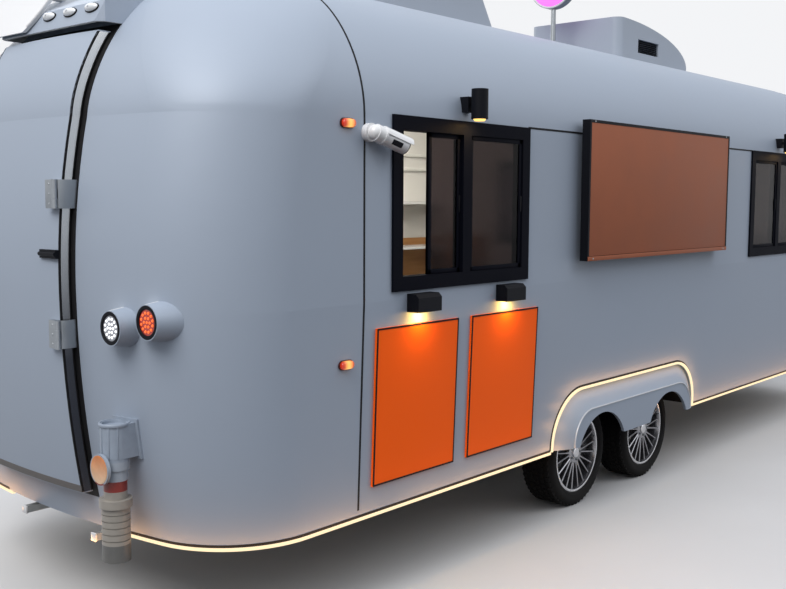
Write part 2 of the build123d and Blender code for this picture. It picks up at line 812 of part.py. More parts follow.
def build_menu():
    """Menu boards on the right wall and the box lamps over them."""
    face = body_width / 2
    middle_z = board_bottom + board_height / 2
    board_y = half_width(middle_z) + board_thickness / 2 + board_gap
    width, reach, height = box_lamp
    top = box_lamp_bottom + height
    section = Plane.YZ * make_face(Polyline(
        (-face, box_lamp_bottom), (-face - reach, box_lamp_bottom), (-face - reach, top - box_lamp_bevel),
        (-face - reach + box_lamp_bevel, top), (-face, top), (-face, box_lamp_bottom)))
    boards = []
    lamps = []
    for start in board_starts:
        x = start + board_width / 2
        boards.append(Pos(x, -board_y, middle_z) * Rot(math.degrees(math.atan(lean)), 0, 0) * Box(
            board_width, board_thickness, board_height))
        lamps.append(extrude(Pos(x - width / 2, 0, 0) * section, amount=width))
    add("menu_boards", Compound(children=boards))
    add("box_lamps", Compound(children=lamps))


def build_sign():
    """Sign board between the windows, on four standoffs."""
    back = -body_width / 2 - sign_standoff
    front = back - sign_depth
    sign = block(sign_start, sign_end, back, front, sign_bottom, sign_top)
    sign -= block(sign_start + sign_rim, sign_end - sign_rim, front + sign_recess, front,
                  sign_bottom + sign_rim, sign_top - sign_rim)
    for x in (sign_start + standoff_inset, sign_end - standoff_inset):
        for z in (sign_bottom + standoff_inset, shoulder_z - standoff_r):
            sign += rod("y", (x, back + sign_standoff / 2, z), standoff_r, sign_standoff)
    add("sign_board", sign)


def build_spots():
    """Round spot lamp over each window, on a foot and a short arm."""
    face = body_width / 2
    width, height = spot_foot
    spots = []
    for side, starts in ((-1, right_windows), (1, left_windows)):
        for start in starts:
            x = start + window_width / 2
            lamp_y = side * (face + spot_reach)
            spot = block(x - width / 2, x + width / 2, side * (face - spot_foot_proud),
                         side * (face + spot_foot_proud), spot_height - height / 2, spot_height + height / 2)
            spot += block(x - spot_arm / 2, x + spot_arm / 2, side * face, lamp_y,
                          spot_height - spot_arm / 2, spot_height + spot_arm / 2)
            spot += rod("z", (x, lamp_y, spot_height), spot_r, spot_length)
            spots.append(spot - OUTER)
    add("spot_lamps", Compound(children=spots))


def build_rear_lamps():
    """Two round lamps a side, in pods that widen towards the body."""
    root_r = pod_r + pod_taper * pod_reach
    bodies = []
    lenses = []
    for side in (-1, 1):
        for x, y, z in pods:
            pod = Pos(x + pod_reach / 2, side * y, z) * Rot(0, 90, 0) * Cone(pod_r, root_r, pod_reach) - OUTER
            pod = pod.solids().sort_by(Axis.X)[0]
            bodies.append(pod - rod("x", (x, side * y, z), pod_lens_r + pod_lens_gap, 2 * pod_lip))
            lens_depth = pod_lip * 2 / 3
            lenses.append(rod("x", (x + pod_lip - lens_depth / 2, side * y, z), pod_lens_r, lens_depth))
    add("lamp_pods", Compound(children=bodies))
    add("lamp_lenses", Compound(children=lenses))


def build_strips():
    """Light strip under the body's lower edge and round the arches."""
    outline = make_face(plan_outline(shell_bottom, 0, wall_corner, wall_end))
    core = make_face(plan_outline(shell_bottom, strip_width, wall_corner, wall_end))
    ring = Pos(0, 0, -strip_height) * extrude(outline - core, amount=strip_height)
    ring -= block(-beyond, rear_seam_x, -door_width / 2, door_width / 2, 0, beyond)
    for side in (-1, 1):
        ring -= block(axle_centre_x - arch_half, axle_centre_x + arch_half, 0, side * beyond, 0, beyond)
    pieces = ring.solids()
    band = body_form(-strip_proud) - OUTER
    low = shell_bottom - arch_half
    outer = rounded_arch(arch_half + arch_strip_outside, arch_top_z + arch_strip_outside, arch_corner_r, low)
    inner = rounded_arch(arch_half - arch_strip_inside, arch_top_z - arch_strip_inside, arch_corner_r, low)
    for side in (-1, 1):
        arch = side_prism(outer, 0, side * beyond) - side_prism(inner, 0, side * beyond)
        pieces += (arch & band & block(-beyond, beyond, 0, side * beyond, shell_bottom, beyond)).solids()
    add("light_strips", Compound(children=list(pieces)))


def brow_form(inset):
    """Form of the brow over the door, moved in by inset, with chamfered ends. It runs back into the body."""
    lip_x = brow_lip_x + inset
    half = brow_half - inset
    back_x, back_z = brow_back
    profile = make_face(Polyline(
        (lip_x, brow_bottom - inset), (back_x, brow_bottom - inset), (back_x, back_z - inset),
        (lip_x + brow_face_lean, brow_bottom + brow_face_height - inset), (lip_x, brow_bottom - inset)))
    plan = make_face(Polyline(
        (lip_x, brow_end_chamfer - half), (lip_x + brow_end_chamfer, -half), (back_x, -half), (back_x, half),
        (lip_x + brow_end_chamfer, half), (lip_x, half - brow_end_chamfer), (lip_x, brow_end_chamfer - half)))
    return side_prism(profile, -half, half) & extrude(plan, amount=beyond)


def build_brow():
    """Hollow brow over the door and the row of oval lamps on its face."""
    brow = brow_form(0) - brow_form(brow_shell) - OUTER
    add("door_brow", brow.solids().sort_by(Axis.X)[0])
    tilt = math.atan2(brow_face_lean, brow_face_height)
    face_x = brow_lip_x + (brow_lamp_z - brow_bottom) * math.tan(tilt)
    width, height, depth = brow_lamp
    lamps = []
    for i in range(brow_lamp_count):
        y = brow_lamp_start + i * brow_lamp_pitch
        face = Plane(origin=(face_x, y, brow_lamp_z), x_dir=(0, 1, 0), z_dir=(-math.cos(tilt), 0, math.sin(tilt)))
        lamps.append(extrude(face * SlotOverall(width, height), amount=depth))
    add("brow_lamps", Compound(children=lamps))


def build_markers():
    """Side marker lamps."""
    length, proud, height = marker_size
    lamps = []
    for side in (-1, 1):
        for x, z in markers:
            wall_y = half_width(z)
            lamps.append(block(x - length / 2, x + length / 2, side * (wall_y - marker_sink),
                               side * (wall_y + proud), z - height / 2, z + height / 2) - OUTER)
    add("marker_lamps", Compound(children=lamps))


def build_plate():
    """Blank round plate that leans back over the brow, cut flat above its lip, on two struts."""
    turn = math.radians(plate_tilt)
    edge_x = brow_lip_x + brow_face_lean
    edge_z = brow_bottom + brow_face_height
    out = plate_thickness / 2 + plate_gap
    centre = (edge_x + plate_rise * math.cos(turn) - out * math.sin(turn), plate_y,
              edge_z + plate_rise * math.sin(turn) + out * math.cos(turn))
    plate = Pos(*centre) * Rot(0, -plate_tilt, 0) * Cylinder(plate_r, plate_thickness)
    plate -= block(-beyond, 0, -beyond, beyond, 0, plate_cut_z)
    start = edge_x + (plate_strut_z - edge_z) / math.tan(turn) - out / math.sin(turn)
    for way in (-1, 1):
        middle = ((start + brow_back[0]) / 2, plate_y + way * plate_strut_spread, plate_strut_z)
        plate += rod("x", middle, plate_strut_r, brow_back[0] - start)
    plate = plate - OUTER - brow_form(0)
    add("round_plate", plate.solids().sort_by(Axis.X)[0])


def build_camera():
    """Wall camera on the right side: base, ball and a barrel that looks forward and down."""
    face = -body_width / 2
    camera = rod("y", (camera_x, face - camera_base_depth / 2, camera_z), camera_base_r, camera_base_depth)
    ball = Pos(camera_x, face - camera_base_depth - camera_ball_r / 2, camera_z)
    camera += ball * Sphere(camera_ball_r)
    aim = ball * Rot(0, camera_drop, -camera_turn) * Rot(0, 90, 0)
    camera += aim * Pos(0, 0, camera_length / 2) * Cylinder(camera_r, camera_length)
    camera -= aim * Pos(0, 0, camera_length) * Cylinder(camera_r - camera_rim, 2 * camera_rim)
    add("wall_camera", camera)


def build_inlet():
    """Power inlet on the rear corner: hood, collar, ribbed plug and the open lid."""
    forward = rear_seam_x - inlet_x
    hood = rod("z", (inlet_x, inlet_y, (inlet_bottom + inlet_top) / 2), inlet_r, inlet_top - inlet_bottom)
    hood += block(inlet_x, inlet_x + forward, inlet_y - inlet_r, inlet_y + inlet_r, inlet_bottom, inlet_top)
    hood -= rod("z", (inlet_x, inlet_y, inlet_top), inlet_r - inlet_wall, 2 * inlet_recess)
    wide = inlet_r + inlet_flange
    flange = block(inlet_x, inlet_x + forward, inlet_y - wide, inlet_y + wide,
                   inlet_bottom - inlet_flange, inlet_top + inlet_flange)
    hood += flange & body_form(-inlet_flange_depth)
    collar_bottom = inlet_bottom - collar_drop
    ring_top = ring_z + ring_height / 2
    ring_bottom = ring_z - ring_height / 2
    # Steps below the hood: radius, top, bottom
    steps = (
        (collar_r + collar_step, inlet_bottom, inlet_bottom - collar_drop / 2),
        (collar_r, inlet_bottom, collar_bottom),
        (socket_r, collar_bottom, ring_top),
        (ring_r, ring_top, ring_bottom),
        (plug_r, ring_bottom, plug_bottom),
    )
    for r, top, bottom in steps:
        hood += rod("z", (inlet_x, inlet_y, (top + bottom) / 2), r, top - bottom)
    for i in range(plug_ribs):
        z = ring_bottom - (i + 1) * plug_rib_pitch
        groove = rod("z", (inlet_x, inlet_y, z), plug_r + 1, plug_groove)
        hood -= groove - rod("z", (inlet_x, inlet_y, z), plug_r - plug_groove, plug_groove)
    lid_front = inlet_x - inlet_r - lid_gap
    hood += rod("x", (lid_front - lid_thickness / 2, inlet_y, lid_z), lid_r, lid_thickness)
    hood += block(lid_front - lid_thickness, inlet_x, inlet_y - lid_lug, inlet_y + lid_lug,
                  inlet_bottom, inlet_bottom + lid_lug)
    add("power_inlet", hood - OUTER)


def build_roof_units():
    """Rear unit with leaning ends and a fan recess, front unit that curves down to the roof."""
    low = crown_z() - unit_sink
    half = unit_width / 2
    rear_top = crown_z() + rear_unit_height
    rear_end = rear_unit_start + rear_unit_length
    slope = unit_lean * (rear_top - low)
    rear_outline = make_face(Polyline(
        (rear_unit_start, low), (rear_end, low), (rear_end - slope, rear_top),
        (rear_unit_start + slope, rear_top), (rear_unit_start, low)))
    rear = side_prism(rear_outline, -half, half)
    rear = fillet(rear.edges().filter_by(Axis.X).group_by(Axis.Z)[-1], unit_corner_r)
    rear -= rod("z", (rear_unit_start + rear_unit_length / 2, 0, rear_top), fan_r, 2 * fan_depth)
    front_top = crown_z() + front_unit_height
    front_end = front_unit_start + front_unit_length
    front_outline = make_face([
        Line((front_unit_start, low), (front_end, low)), Line((front_end, low), (front_end, crown_z())),
        EllipticalCenterArc((front_unit_start, crown_z()), front_unit_length, front_unit_height,
                            start_angle=0, arc_size=90),
        Line((front_unit_start, front_top), (front_unit_start, low))])
    front = side_prism(front_outline, -half, half)
    front = fillet(front.edges().filter_by(Axis.Z).group_by(Axis.X)[0], unit_corner_r)
    for side in (-1, 1):
        front -= block(front_unit_start + vent_start, front_unit_start + vent_start + vent_width,
                       side * (half - vent_depth), side * unit_width,
                       crown_z() + vent_rise, crown_z() + vent_rise + vent_height)
    add("roof_units", Compound(children=[rear - OUTER, front - OUTER]))


def build_roof_sign():
    """Round sign on a pole with a foot."""
    bottom = crown_z() - unit_sink
    top = roof_sign_z - roof_sign_r / 2
    sign = rod("z", (roof_sign_x, 0, (bottom + top) / 2), roof_pole_r, top - bottom)
    foot_top = crown_z() + pole_foot_height
    sign += rod("z", (roof_sign_x, 0, (bottom + foot_top) / 2), pole_foot_r, foot_top - bottom)
    sign += rod("x", (roof_sign_x, 0, roof_sign_z), roof_sign_r, roof_sign_depth)
    add("roof_sign", sign - OUTER)


def build_shelves():
    """Two shelves on the left wall, each with end brackets."""
    outer_y = half_width(min(shelf_heights) - shelf_side_drop) - wall - shelf_gap
    shelves = []
    for top in shelf_heights:
        shelf = block(shelf_start, shelf_end, outer_y - shelf_depth, outer_y, top - shelf_thickness, top)
        for x in (shelf_start, shelf_end - shelf_thickness):
            shelf += block(x, x + shelf_thickness, outer_y - shelf_depth / 2, outer_y, top - shelf_side_drop, top)
        shelves.append(shelf)
    add("wall_shelves", Compound(children=shelves))


def build_worktops():
    """Worktops along both sides, on triangular wall brackets."""
    underside = worktop_height - worktop_thickness
    outer_y = half_width(underside - bracket_drop) - wall - worktop_wall_gap
    inner_y = outer_y - worktop_depth
    tops = []
    first_x = worktop_start + bracket_inset - bracket_thickness / 2
    pitch = (worktop_end - worktop_start - 2 * bracket_inset) / (bracket_count - 1)
    for side in (-1, 1):
        top = block(worktop_start, worktop_end, side * inner_y, side * outer_y, underside, worktop_height)
        bracket = Plane.YZ * make_face(Polyline(
            (side * outer_y, underside), (side * (outer_y - bracket_reach), underside),
            (side * outer_y, underside - bracket_drop), (side * outer_y, underside)))
        for i in range(bracket_count):
            top += extrude(Pos(first_x + i * pitch, 0, 0) * bracket, amount=bracket_thickness)
        tops.append(top)
    add("worktops", Compound(children=tops))


if __name__ == "__main__":
    os.makedirs("parts", exist_ok=True)
    for step in (build_shell, build_windows, build_door, build_wheels, build_axles, build_arches, build_floor,
                 build_chassis, build_coupling, build_jockey, build_steadies, build_menu, build_sign, build_spots,
                 build_rear_lamps, build_strips, build_brow, build_markers, build_plate, build_camera, build_inlet,
                 build_roof_units, build_roof_sign, build_shelves, build_worktops):
        step()
    for name, shape in parts.items():
        shape.label = name
        export_step(shape, f"parts/{name}.step")
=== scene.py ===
"""Looks of a food trailer with a rounded shell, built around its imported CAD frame.

Metres, in the frame of the CAD model: X forward to the coupling, Y left, Z up, ground at z = 0.
"""

import json
import logging
import math
from dataclasses import dataclass, replace
from enum import Enum

import bmesh
import bpy
from mathutils import Matrix, Vector
from mathutils.bvhtree import BVHTree

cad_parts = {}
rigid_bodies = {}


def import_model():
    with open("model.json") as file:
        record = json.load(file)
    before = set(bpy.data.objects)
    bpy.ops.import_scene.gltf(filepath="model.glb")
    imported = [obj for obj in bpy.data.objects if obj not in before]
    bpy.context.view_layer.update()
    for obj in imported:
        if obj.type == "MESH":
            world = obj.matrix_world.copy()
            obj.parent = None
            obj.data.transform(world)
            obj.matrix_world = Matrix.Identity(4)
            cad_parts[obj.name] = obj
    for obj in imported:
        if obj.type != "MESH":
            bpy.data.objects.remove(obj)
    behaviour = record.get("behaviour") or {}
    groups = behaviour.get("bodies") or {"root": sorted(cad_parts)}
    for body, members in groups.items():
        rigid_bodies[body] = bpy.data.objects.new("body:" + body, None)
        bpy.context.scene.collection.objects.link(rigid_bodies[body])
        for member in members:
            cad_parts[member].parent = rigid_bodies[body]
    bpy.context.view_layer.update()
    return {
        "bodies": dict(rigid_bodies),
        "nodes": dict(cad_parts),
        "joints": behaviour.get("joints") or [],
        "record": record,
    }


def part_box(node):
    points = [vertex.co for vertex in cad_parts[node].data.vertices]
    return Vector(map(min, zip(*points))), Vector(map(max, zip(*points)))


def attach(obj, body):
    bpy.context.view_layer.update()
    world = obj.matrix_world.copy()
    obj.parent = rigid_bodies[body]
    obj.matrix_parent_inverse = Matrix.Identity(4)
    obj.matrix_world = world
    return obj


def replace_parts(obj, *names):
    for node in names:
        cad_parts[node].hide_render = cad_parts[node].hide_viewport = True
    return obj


log = logging.getLogger("food_trailer")
Colour = tuple[float, float, float]
Point = tuple[float, float, float]
Span = tuple[float, float]
Pairs = list[Span] | tuple[Span, ...]
Ray = tuple[Vector, Vector]
Path = list[tuple[Vector, Vector, Vector]]
Socket = bpy.types.NodeSocket
X = Vector((1.0, 0.0, 0.0))
Y = Vector((0.0, 1.0, 0.0))
Z = Vector((0.0, 0.0, 1.0))


class Side(Enum):
    """A side of the trailer; the value is the sign of Y."""

    RIGHT = -1
    LEFT = 1


class Shine(Enum):
    """How a finish takes light; the value is its roughness."""

    POLISHED = 0.12
    GLOSS = 0.22
    SATIN = 0.38
    EGGSHELL = 0.5
    DULL = 0.6
    MATT = 0.82


class ShaderWork:
    """Adds and links nodes in one shader node tree."""

    def __init__(self, tree: bpy.types.NodeTree) -> None:
        """Keep the tree that this work adds to."""
        self.tree = tree

    def add(self, kind: str, **settings: object) -> bpy.types.Node:
        """Add a node.

        Args:
            kind: the node's type name.
            settings: properties of the node to set.

        Returns:
            The new node.
        """
        node = self.tree.nodes.new(kind)
        for name, value in settings.items():
            setattr(node, name, value)
        return node

    def link(self, source: Socket, target: Socket) -> None:
        """Link an output to an input."""
        self.tree.links.new(source, target)

    def feed(self, value: object, target: Socket) -> None:
        """Link a socket to an input, or set the input to a value.

        Args:
            value: a socket, a number or a colour.
            target: the input.
        """
        if isinstance(value, Socket):
            self.link(value, target)
        elif target.type == "RGBA":
            target.default_value = (*value, 1.0)
        else:
            target.default_value = value

    def sockets(self, inputs: dict[str, str], outputs: dict[str, str]) -> tuple:
        """Give the tree inputs and outputs of its own.

        Args:
            inputs: the kind of each input, by name.
            outputs: the kind of each output, by name.

        Returns:
            The sockets that bring the inputs in, and those that take the outputs.
        """
        for way, kinds in (("INPUT", inputs), ("OUTPUT", outputs)):
            for name, kind in kinds.items():
                self.tree.interface.new_socket(name, in_out=way, socket_type=f"NodeSocket{kind}")
        return self.add("NodeGroupInput").outputs, self.add("NodeGroupOutput").inputs

    def math(self, operation: str, first: object, second: object, third: object = 0.0,
             clamp: bool = False) -> Socket:
        """Add a Math node.

        Args:
            operation: the operation's name.
            first: a socket or a number, and so are the next two.
            second: the second value.
            third: the third value, which few operations read.
            clamp: whether the result stays from 0 to 1.

        Returns:
            The result's socket.
        """
        node = self.add("ShaderNodeMath", operation=operation, use_clamp=clamp)
        for value, socket in zip((first, second, third), node.inputs):
            self.feed(value, socket)
        return node.outputs[0]

    def axis(self, vector: Socket, name: str) -> Socket:
        """Read the X, Y or Z of a vector.

        Args:
            vector: the vector's socket.
            name: the axis.

        Returns:
            The number's socket.
        """
        node = self.add("ShaderNodeSeparateXYZ")
        self.link(vector, node.inputs[0])
        return node.outputs[name]

    def ramp(self, value: Socket, source: tuple, target: tuple = (0.0, 1.0), kind: str = "LINEAR") -> Socket:
        """Carry one range of values over to another, without going past its ends.

        Args:
            value: the socket that is read.
            source: ends of the first range, each a socket or a number.
            target: ends of the second range.
            kind: how the result runs between them.

        Returns:
            The result's socket.
        """
        node = self.add("ShaderNodeMapRange", interpolation_type=kind)
        names = ("Value", "From Min", "From Max", "To Min", "To Max")
        for name, end in zip(names, (value, *source, *target)):
            self.feed(end, node.inputs[name])
        return node.outputs["Result"]

    def noise(self, vector: Socket, scale: object, detail: float) -> Socket:
        """Add a noise texture.

        Args:
            vector: where the pattern is read.
            scale: a socket or a number, in cells per metre.
            detail: how many finer layers are added.

        Returns:
            The factor's socket.
        """
        node = self.add("ShaderNodeTexNoise")
        for name, value in (("Vector", vector), ("Scale", scale), ("Detail", detail)):
            self.feed(value, node.inputs[name])
        return node.outputs["Fac"]

    def mix(self, factor: object, first: object, second: object) -> Socket:
        """Mix two colours.

        Args:
            factor: a socket or a number.
            first: a socket or a colour.
            second: a socket or a colour.

        Returns:
            The result's socket.
        """
        node = self.add("ShaderNodeMix", data_type="RGBA")
        for value, place in ((factor, 0), (first, 6), (second, 7)):
            self.feed(value, node.inputs[place])
        return node.outputs[2]


class WeatherGroup:
    """Shared effect: blotches, fine grain and road dust over a base colour."""

    NAME = "weathered surface"
    INPUTS = {"Vector": "Vector", "Colour": "Color", "Roughness": "Float", "Blotch Scale": "Float",
              "Blotch Amount": "Float", "Grain Scale": "Float", "Dust Colour": "Color", "Dust Top": "Float",
              "Dust Amount": "Float"}
    OUTPUTS = {"Colour": "Color", "Roughness": "Float", "Height": "Float"}
    BLOTCH_DETAIL = 4.0
    GRAIN_DETAIL = 2.0
    DUST_ROUGHNESS = 0.35
    BLOTCH_ROUGHNESS = 0.16

    @classmethod
    def tree(cls) -> bpy.types.NodeTree:
        """Return the group, built at the first call."""
        if cls.NAME in bpy.data.node_groups:
            return bpy.data.node_groups[cls.NAME]
        work = ShaderWork(bpy.data.node_groups.new(cls.NAME, "ShaderNodeTree"))
        given, result = work.sockets(cls.INPUTS, cls.OUTPUTS)
        blotch = work.noise(given["Vector"], given["Blotch Scale"], cls.BLOTCH_DETAIL)
        centred = work.math("SUBTRACT", blotch, 0.5)
        toned = work.add("ShaderNodeVectorMath", operation="SCALE")
        work.link(given["Colour"], toned.inputs[0])
        work.link(work.math("MULTIPLY_ADD", centred, given["Blotch Amount"], 1.0), toned.inputs["Scale"])
        height = work.axis(given["Vector"], "Z")
        low = work.ramp(height, (0.0, given["Dust Top"]), (1.0, 0.0), "SMOOTHSTEP")
        dust = work.math("MULTIPLY", work.math("MULTIPLY", low, blotch), given["Dust Amount"], clamp=True)
        work.link(work.mix(dust, toned.outputs[0], given["Dust Colour"]), result["Colour"])
        rougher = work.math("MULTIPLY_ADD", dust, cls.DUST_ROUGHNESS, given["Roughness"])
        work.link(work.math("MULTIPLY_ADD", centred, cls.BLOTCH_ROUGHNESS, rougher), result["Roughness"])
        work.link(work.noise(given["Vector"], given["Grain Scale"], cls.GRAIN_DETAIL), result["Height"])
        return work.tree


DUST: Colour = (0.30, 0.27, 0.23)


@dataclass(frozen=True)
class Finish:
    """A painted, moulded or metal finish with grain, blotches and road dust."""

    name: str
    colour: Colour
    shine: Shine
    metallic: float = 0.0
    coat: float = 0.0
    blotch_scale: float = 3.0
    blotch: float = 0.12
    grain_scale: float = 400.0
    grain_depth: float = 0.0002
    dust_top: float = 0.7
    dust: float = 0.25
    glow: float = 0.0
    glow_colour: Colour = (1.0, 1.0, 1.0)
    specular: float = 0.5
    coat_roughness: float = 0.15
    bump: float = 0.6

    def build(self) -> bpy.types.Material:
        """Make the material, or return the one made before."""
        if self.name in bpy.data.materials:
            return bpy.data.materials[self.name]
        material = bpy.data.materials.new(self.name)
        material.use_nodes = True
        work = ShaderWork(material.node_tree)
        shader = material.node_tree.nodes["Principled BSDF"]
        group = work.add("ShaderNodeGroup", node_tree=WeatherGroup.tree())
        place = work.add("ShaderNodeTexCoord").outputs["Object"]
        for name, value in (("Vector", place), ("Colour", self.base_colour(work, place)),
                            ("Roughness", self.shine.value), ("Blotch Scale", self.blotch_scale),
                            ("Blotch Amount", self.blotch), ("Grain Scale", self.grain_scale),
                            ("Dust Colour", DUST), ("Dust Top", self.dust_top), ("Dust Amount", self.dust)):
            work.feed(value, group.inputs[name])
        bump = work.add("ShaderNodeBump")
        bump.inputs["Distance"].default_value = self.grain_depth
        bump.inputs["Strength"].default_value = self.bump
        work.link(self.relief(work, place, group.outputs["Height"]), bump.inputs["Height"])
        for name, value in (("Base Color", group.outputs["Colour"]), ("Metallic", self.metallic),
                            ("Roughness", group.outputs["Roughness"]), ("Coat Weight", self.coat),
                            ("Coat Roughness", self.coat_roughness), ("Specular IOR Level", self.specular),
                            ("Emission Color", self.glow_colour), ("Emission Strength", self.glow),
                            ("Normal", bump.outputs["Normal"])):
            work.feed(value, shader.inputs[name])
        self.extend(work, shader, place)
        return material

    def base_colour(self, work: ShaderWork, place: Socket) -> object:
        """Return the base colour, as a colour or a socket."""
        return self.colour

    def relief(self, work: ShaderWork, place: Socket, grain: Socket) -> Socket:
        """Return the height that the bump reads."""
        return grain

    def extend(self, work: ShaderWork, shader: bpy.types.Node, place: Socket) -> None:
        """Change the shader further. The plain finish adds nothing."""


@dataclass(frozen=True)
class ShellPaint(Finish):
    """Satin body paint outside, and a white liner on the faces that look into the cabin."""

    axis_x: Span = (0.0, 0.0)
    axis_z: float = 1.4
    liner: Colour = (0.80, 0.79, 0.76)
    wave_scale: float = 2.2
    wave_depth: float = 9.0

    def base_colour(self, work: ShaderWork, place: Socket) -> Socket:
        """Pick paint or liner by whether the face looks away from the cabin's middle line.

        Args:
            work: the material's nodes.
            place: the Object coordinates.

        Returns:
            The colour's socket.
        """
        low, high = self.axis_x
        middle = work.add("ShaderNodeCombineXYZ")
        nearest = work.math("MINIMUM", work.math("MAXIMUM", work.axis(place, "X"), low), high)
        work.link(nearest, middle.inputs["X"])
        middle.inputs["Z"].default_value = self.axis_z
        away = work.add("ShaderNodeVectorMath", operation="SUBTRACT")
        work.link(place, away.inputs[0])
        work.link(middle.outputs[0], away.inputs[1])
        turned = work.add("ShaderNodeVectorTransform", vector_type="NORMAL", convert_from="WORLD",
                          convert_to="OBJECT")
        work.link(work.add("ShaderNodeNewGeometry").outputs["Normal"], turned.inputs[0])
        facing = work.add("ShaderNodeVectorMath", operation="DOT_PRODUCT")
        work.link(away.outputs[0], facing.inputs[0])
        work.link(turned.outputs[0], facing.inputs[1])
        return work.mix(work.math("GREATER_THAN", facing.outputs["Value"], 0.0), self.liner, self.colour)

    def relief(self, work: ShaderWork, place: Socket, grain: Socket) -> Socket:
        """Add the slow waves of hand-laid panels to the fine grain."""
        return work.math("MULTIPLY_ADD", work.noise(place, self.wave_scale, 1.0), self.wave_depth, grain)


@dataclass(frozen=True)
class BandedFinish(Finish):
    """A finish whose colour changes in bands up the piece."""

    bands: tuple[tuple[float, Colour], ...] = ()
    band_top: float = 1.0

    def base_colour(self, work: ShaderWork, place: Socket) -> Socket:
        """Pick a band's colour by height. Each band starts at its own height.

        Args:
            work: the material's nodes.
            place: the Object coordinates.

        Returns:
            The colour's socket.
        """
        ramp = work.add("ShaderNodeValToRGB")
        ramp.color_ramp.interpolation = "CONSTANT"
        stops = ramp.color_ramp.elements
        while len(stops) < len(self.bands):
            stops.new(1.0)
        for stop, (height, colour) in zip(stops, self.bands):
            stop.position = height / self.band_top
            stop.color = (*colour, 1.0)
        work.link(work.math("DIVIDE", work.axis(place, "Z"), self.band_top), ramp.inputs["Fac"])
        return ramp.outputs["Color"]


@dataclass(frozen=True)
class WoodFinish(Finish):
    """Varnished wood with its grain along X."""

    dark: Colour = (0.22, 0.09, 0.03)
    ring_scale: float = 7.0
    ring_detail: float = 8.0
    stretch: Point = (0.35, 3.0, 3.0)

    def base_colour(self, work: ShaderWork, place: Socket) -> Socket:
        """Blend two tones by stretched rings.

        Args:
            work: the material's nodes.
            place: the Object coordinates.

        Returns:
            The colour's socket.
        """
        longer = work.add("ShaderNodeMapping")
        longer.inputs["Scale"].default_value = self.stretch
        work.link(place, longer.inputs["Vector"])
        rings = work.noise(longer.outputs["Vector"], self.ring_scale, self.ring_detail)
        return work.mix(rings, self.dark, self.colour)


@dataclass(frozen=True)
class LitDisc(Finish):
    """A lit face whose glow runs from one colour at its foot to another at its top."""

    low_z: float = 0.0
    high_z: float = 1.0
    low_glow: Colour = (1.0, 0.1, 0.8)
    high_glow: Colour = (0.4, 0.2, 1.0)

    def extend(self, work: ShaderWork, shader: bpy.types.Node, place: Socket) -> None:
        """Blend the glow by height."""
        rise = work.ramp(work.axis(place, "Z"), (self.low_z, self.high_z))
        work.link(work.mix(rise, self.low_glow, self.high_glow), shader.inputs["Emission Color"])


@dataclass(frozen=True)
class CentreGlow(Finish):
    """A lens whose glow fades from its middle to its ends along X."""

    middle_x: float = 0.0
    half_x: float = 0.03
    centre_glow: Colour = (1.0, 0.6, 0.15)

    def extend(self, work: ShaderWork, shader: bpy.types.Node, place: Socket) -> None:
        """Blend the glow by distance from the middle.

        Args:
            work: the material's nodes.
            shader: the Principled node.
            place: the Object coordinates.
        """
        away = work.math("ABSOLUTE", work.math("SUBTRACT", work.axis(place, "X"), self.middle_x), 0.0)
        fade = work.ramp(away, (0.0, self.half_x), kind="SMOOTHSTEP")
        work.link(work.mix(fade, self.centre_glow, self.glow_colour), shader.inputs["Emission Color"])


@dataclass(frozen=True)
class FadedFinish(Finish):
    """A finish whose colour fades from its foot to its head."""

    foot: Colour = (0.5, 0.5, 0.5)
    foot_z: float = 0.0
    head_z: float = 1.0

    def base_colour(self, work: ShaderWork, place: Socket) -> Socket:
        """Blend the foot's colour into the head's by height."""
        rise = work.ramp(work.axis(place, "Z"), (self.foot_z, self.head_z))
        return work.mix(rise, self.foot, self.colour)


@dataclass(frozen=True)
class Glass(Finish):
    """Clear or tinted glass or lens plastic."""

    ior: float = 1.45

    def extend(self, work: ShaderWork, shader: bpy.types.Node, place: Socket) -> None:
        """Let light through."""
        shader.inputs["Transmission Weight"].default_value = 1.0
        shader.inputs["IOR"].default_value = self.ior


